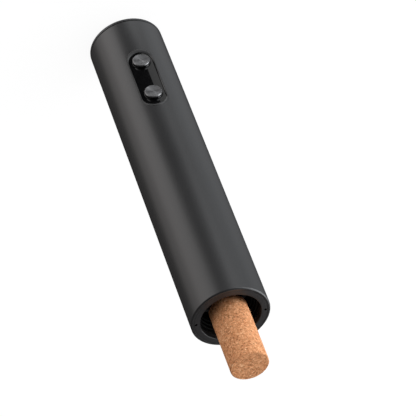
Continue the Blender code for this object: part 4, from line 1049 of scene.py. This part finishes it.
def make_cork():
    around, edge = 260, 0.4 * MM
    step = TURN * CORK_RADIUS / around
    rows = round((CORK_HIGH - CORK_LOW - 2 * edge) / step)
    rings = round((CORK_RADIUS - edge) / step)
    outline = [(0, CORK_LOW), (CORK_RADIUS / 2, CORK_LOW), (CORK_RADIUS - edge, CORK_LOW)]
    for k in range(rows + 1):
        outline.append((CORK_RADIUS, CORK_LOW + edge + (CORK_HIGH - CORK_LOW - 2 * edge) * k / rows))
    for k in range(rings + 1):
        outline.append(((CORK_RADIUS - edge) * (1 - k / rings), CORK_HIGH))
    cork = turned_piece("pressed_cork", outline, around, CORK)
    low, high = CORK_LOW - WORM_PITCH / 2, CORK_HIGH - 3.2 * MM
    count = round((high - low) / WORM_PITCH * 20)
    route = [coil_point(low + (high - low) * k / count) for k in range(count + 1)]
    hole = swept_bar("worm_hole", route, [WORM_WIRE + 0.4 * MM] * (count + 1), 12, None)
    boolean(cork, "DIFFERENCE", hole)
    run_tree(cork, granule_tree(), CORK)
    cork.data.shade_smooth()
    cork.data.set_sharp_from_angle(angle=math.radians(50))
    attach(cork, "cork")
    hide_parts("cork")
    return cork


print("cork:", len(make_cork().data.polygons), "faces")

# %% [markdown]
# ## Metal finishes for the works
#
# Inside, the parts are turned, ground or drawn metal. Each finish is a metallic Principled shader with
# its own tint, and a noise stretched along one axis for the tool marks.

# %% Metal finishes


def metal(name, colour, roughness, stretch=(1, 1, 8), depth=0.006 * MM):
    material, tree, shader = new_finish(name, Metallic=1.0)
    marks = noise(tree, object_place(tree, stretch), 700, 4.0)
    stain = noise(tree, object_place(tree), 130, 3.0)
    dark, light = [tuple(c * k for c in colour) for k in (0.84, 1.08)]
    tree.links.new(add_ramp(tree, stain, [(0.3, dark), (0.7, light)]), shader.inputs["Base Color"])
    tree.links.new(add_math(tree, "MULTIPLY_ADD", marks, 0.16, roughness - 0.08),
                   shader.inputs["Roughness"])
    bump(tree, shader, marks, depth, 0.5)
    return material


STEEL = metal("turned_steel", (0.52, 0.52, 0.54), 0.3)
BRASS = metal("turned_brass", (0.68, 0.49, 0.2), 0.32)
COATED = metal("coated_worm", (0.1, 0.1, 0.105), 0.36, (1, 1, 1))
print("made 3 metal finishes")

# %% [markdown]
# ## Board, sleeve and lead finishes
#
# The circuit board has green solder resist over a faint weave of copper, the cell has a shrink sleeve,
# and the leads have coloured insulation.

# %% Board, sleeve and lead finishes


def board_finish():
    material, tree, shader = new_finish("solder_resist", Coat_Weight=0.3, Coat_Roughness=0.2)
    place = object_place(tree)
    traces = add_node(tree, "ShaderNodeTexBrick", {"offset": 0.5}, Vector=place, Scale=420.0,
                      Color1=(0.012, 0.1, 0.04, 1), Color2=(0.015, 0.13, 0.05, 1),
                      Mortar=(0.02, 0.17, 0.06, 1))
    tree.links.new(traces.outputs["Color"], shader.inputs["Base Color"])
    tree.links.new(add_math(tree, "MULTIPLY_ADD", noise(tree, place, 300), 0.2, 0.3),
                   shader.inputs["Roughness"])
    bump(tree, shader, traces.outputs["Fac"], 0.02 * MM, 0.4)
    return material


BOARD = board_finish()
SLEEVE = moulded("cell_sleeve", (0.04, 0.16, 0.42), 0.3, 200, 0.02 * MM)
RED = moulded("red_insulation", (0.5, 0.015, 0.015), 0.42, 900)
BLACK = moulded("black_insulation", (0.014, 0.014, 0.014), 0.42, 900)
SLOT_FINISHES = {
    "barrel": SATIN, "trim": RING_PLASTIC, "inner": FUNNEL_PLASTIC, "lens": ACRYLIC,
    "button": SPUN_METAL, "rubber": SEAL_RUBBER, "cork": CORK, "worm": COATED, "steel": STEEL,
    "brass": BRASS, "gear": GEAR_NYLON, "frame": FRAME_PLASTIC, "board": BOARD, "chip": CHIP_RESIN,
    "cell": SLEEVE, "magnet": FERRITE, "red": RED, "black": BLACK,
}
print("finishes for", len(SLOT_FINISHES), "slots")

# %% [markdown]
# ## Worm
#
# The worm is a round bar coiled into an open helix, tapered to a point and coated dark so that it
# slides into the cork. It starts as a straight shank in the hub and opens out to the coil's radius in
# half a turn.

# %% Worm


def make_worm():
    low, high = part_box("worm")[0].z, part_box("worm")[1].z
    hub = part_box("output_spindle")[1].z
    per_turn, sides = 28, 16
    route, radii = [Vector((0, 0, low)), Vector((0, 0, hub - 0.4 * MM))], [2.0 * MM] * 2
    tip = high
    count = round((tip - hub) / WORM_PITCH * per_turn)
    for k in range(count + 1):
        height = hub + (tip - hub) * k / count
        opening = min(1.0, (height - hub) / (0.5 * WORM_PITCH))
        left = min(1.0, (tip - height) / (0.8 * WORM_PITCH))
        route.append(coil_point(height, WORM_COIL * opening * opening * (3 - 2 * opening)))
        radii.append(WORM_WIRE * (0.1 + 0.9 * math.sqrt(left)))
    worm = swept_bar("coated_coil", route, radii, sides, COATED)
    pin_low, pin_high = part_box("worm_pin")
    radius = (pin_high.z - pin_low.z) / 2 + 0.12 * MM
    circle = [(radius * math.cos(TURN * k / 32), radius * math.sin(TURN * k / 32)) for k in range(32)]
    hole = front_prism("pin_hole", circle, -3 * MM, 3 * MM, (pin_low.z + pin_high.z) / 2)
    hole.data.transform(Matrix.Rotation(TURN / 4, 4, "Z"))
    boolean(worm, "DIFFERENCE", hole)
    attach(worm, "worm_drive")
    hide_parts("worm")
    return worm


print("worm:", len(make_worm().data.polygons), "faces")

# %% [markdown]
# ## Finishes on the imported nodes
#
# The nodes that keep their own shape take the finish of their slot.

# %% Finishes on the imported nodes


def dress_nodes():
    slots = {s["node"]: s["material_slot"] for s in frame["record"]["subparts"]}
    dressed = 0
    for name, node in frame["nodes"].items():
        if node.hide_render:
            continue
        node.data.materials.clear()
        node.data.materials.append(SLOT_FINISHES[slots[name]])
        dressed += 1
    return dressed


print("dressed", dress_nodes(), "packed nodes")
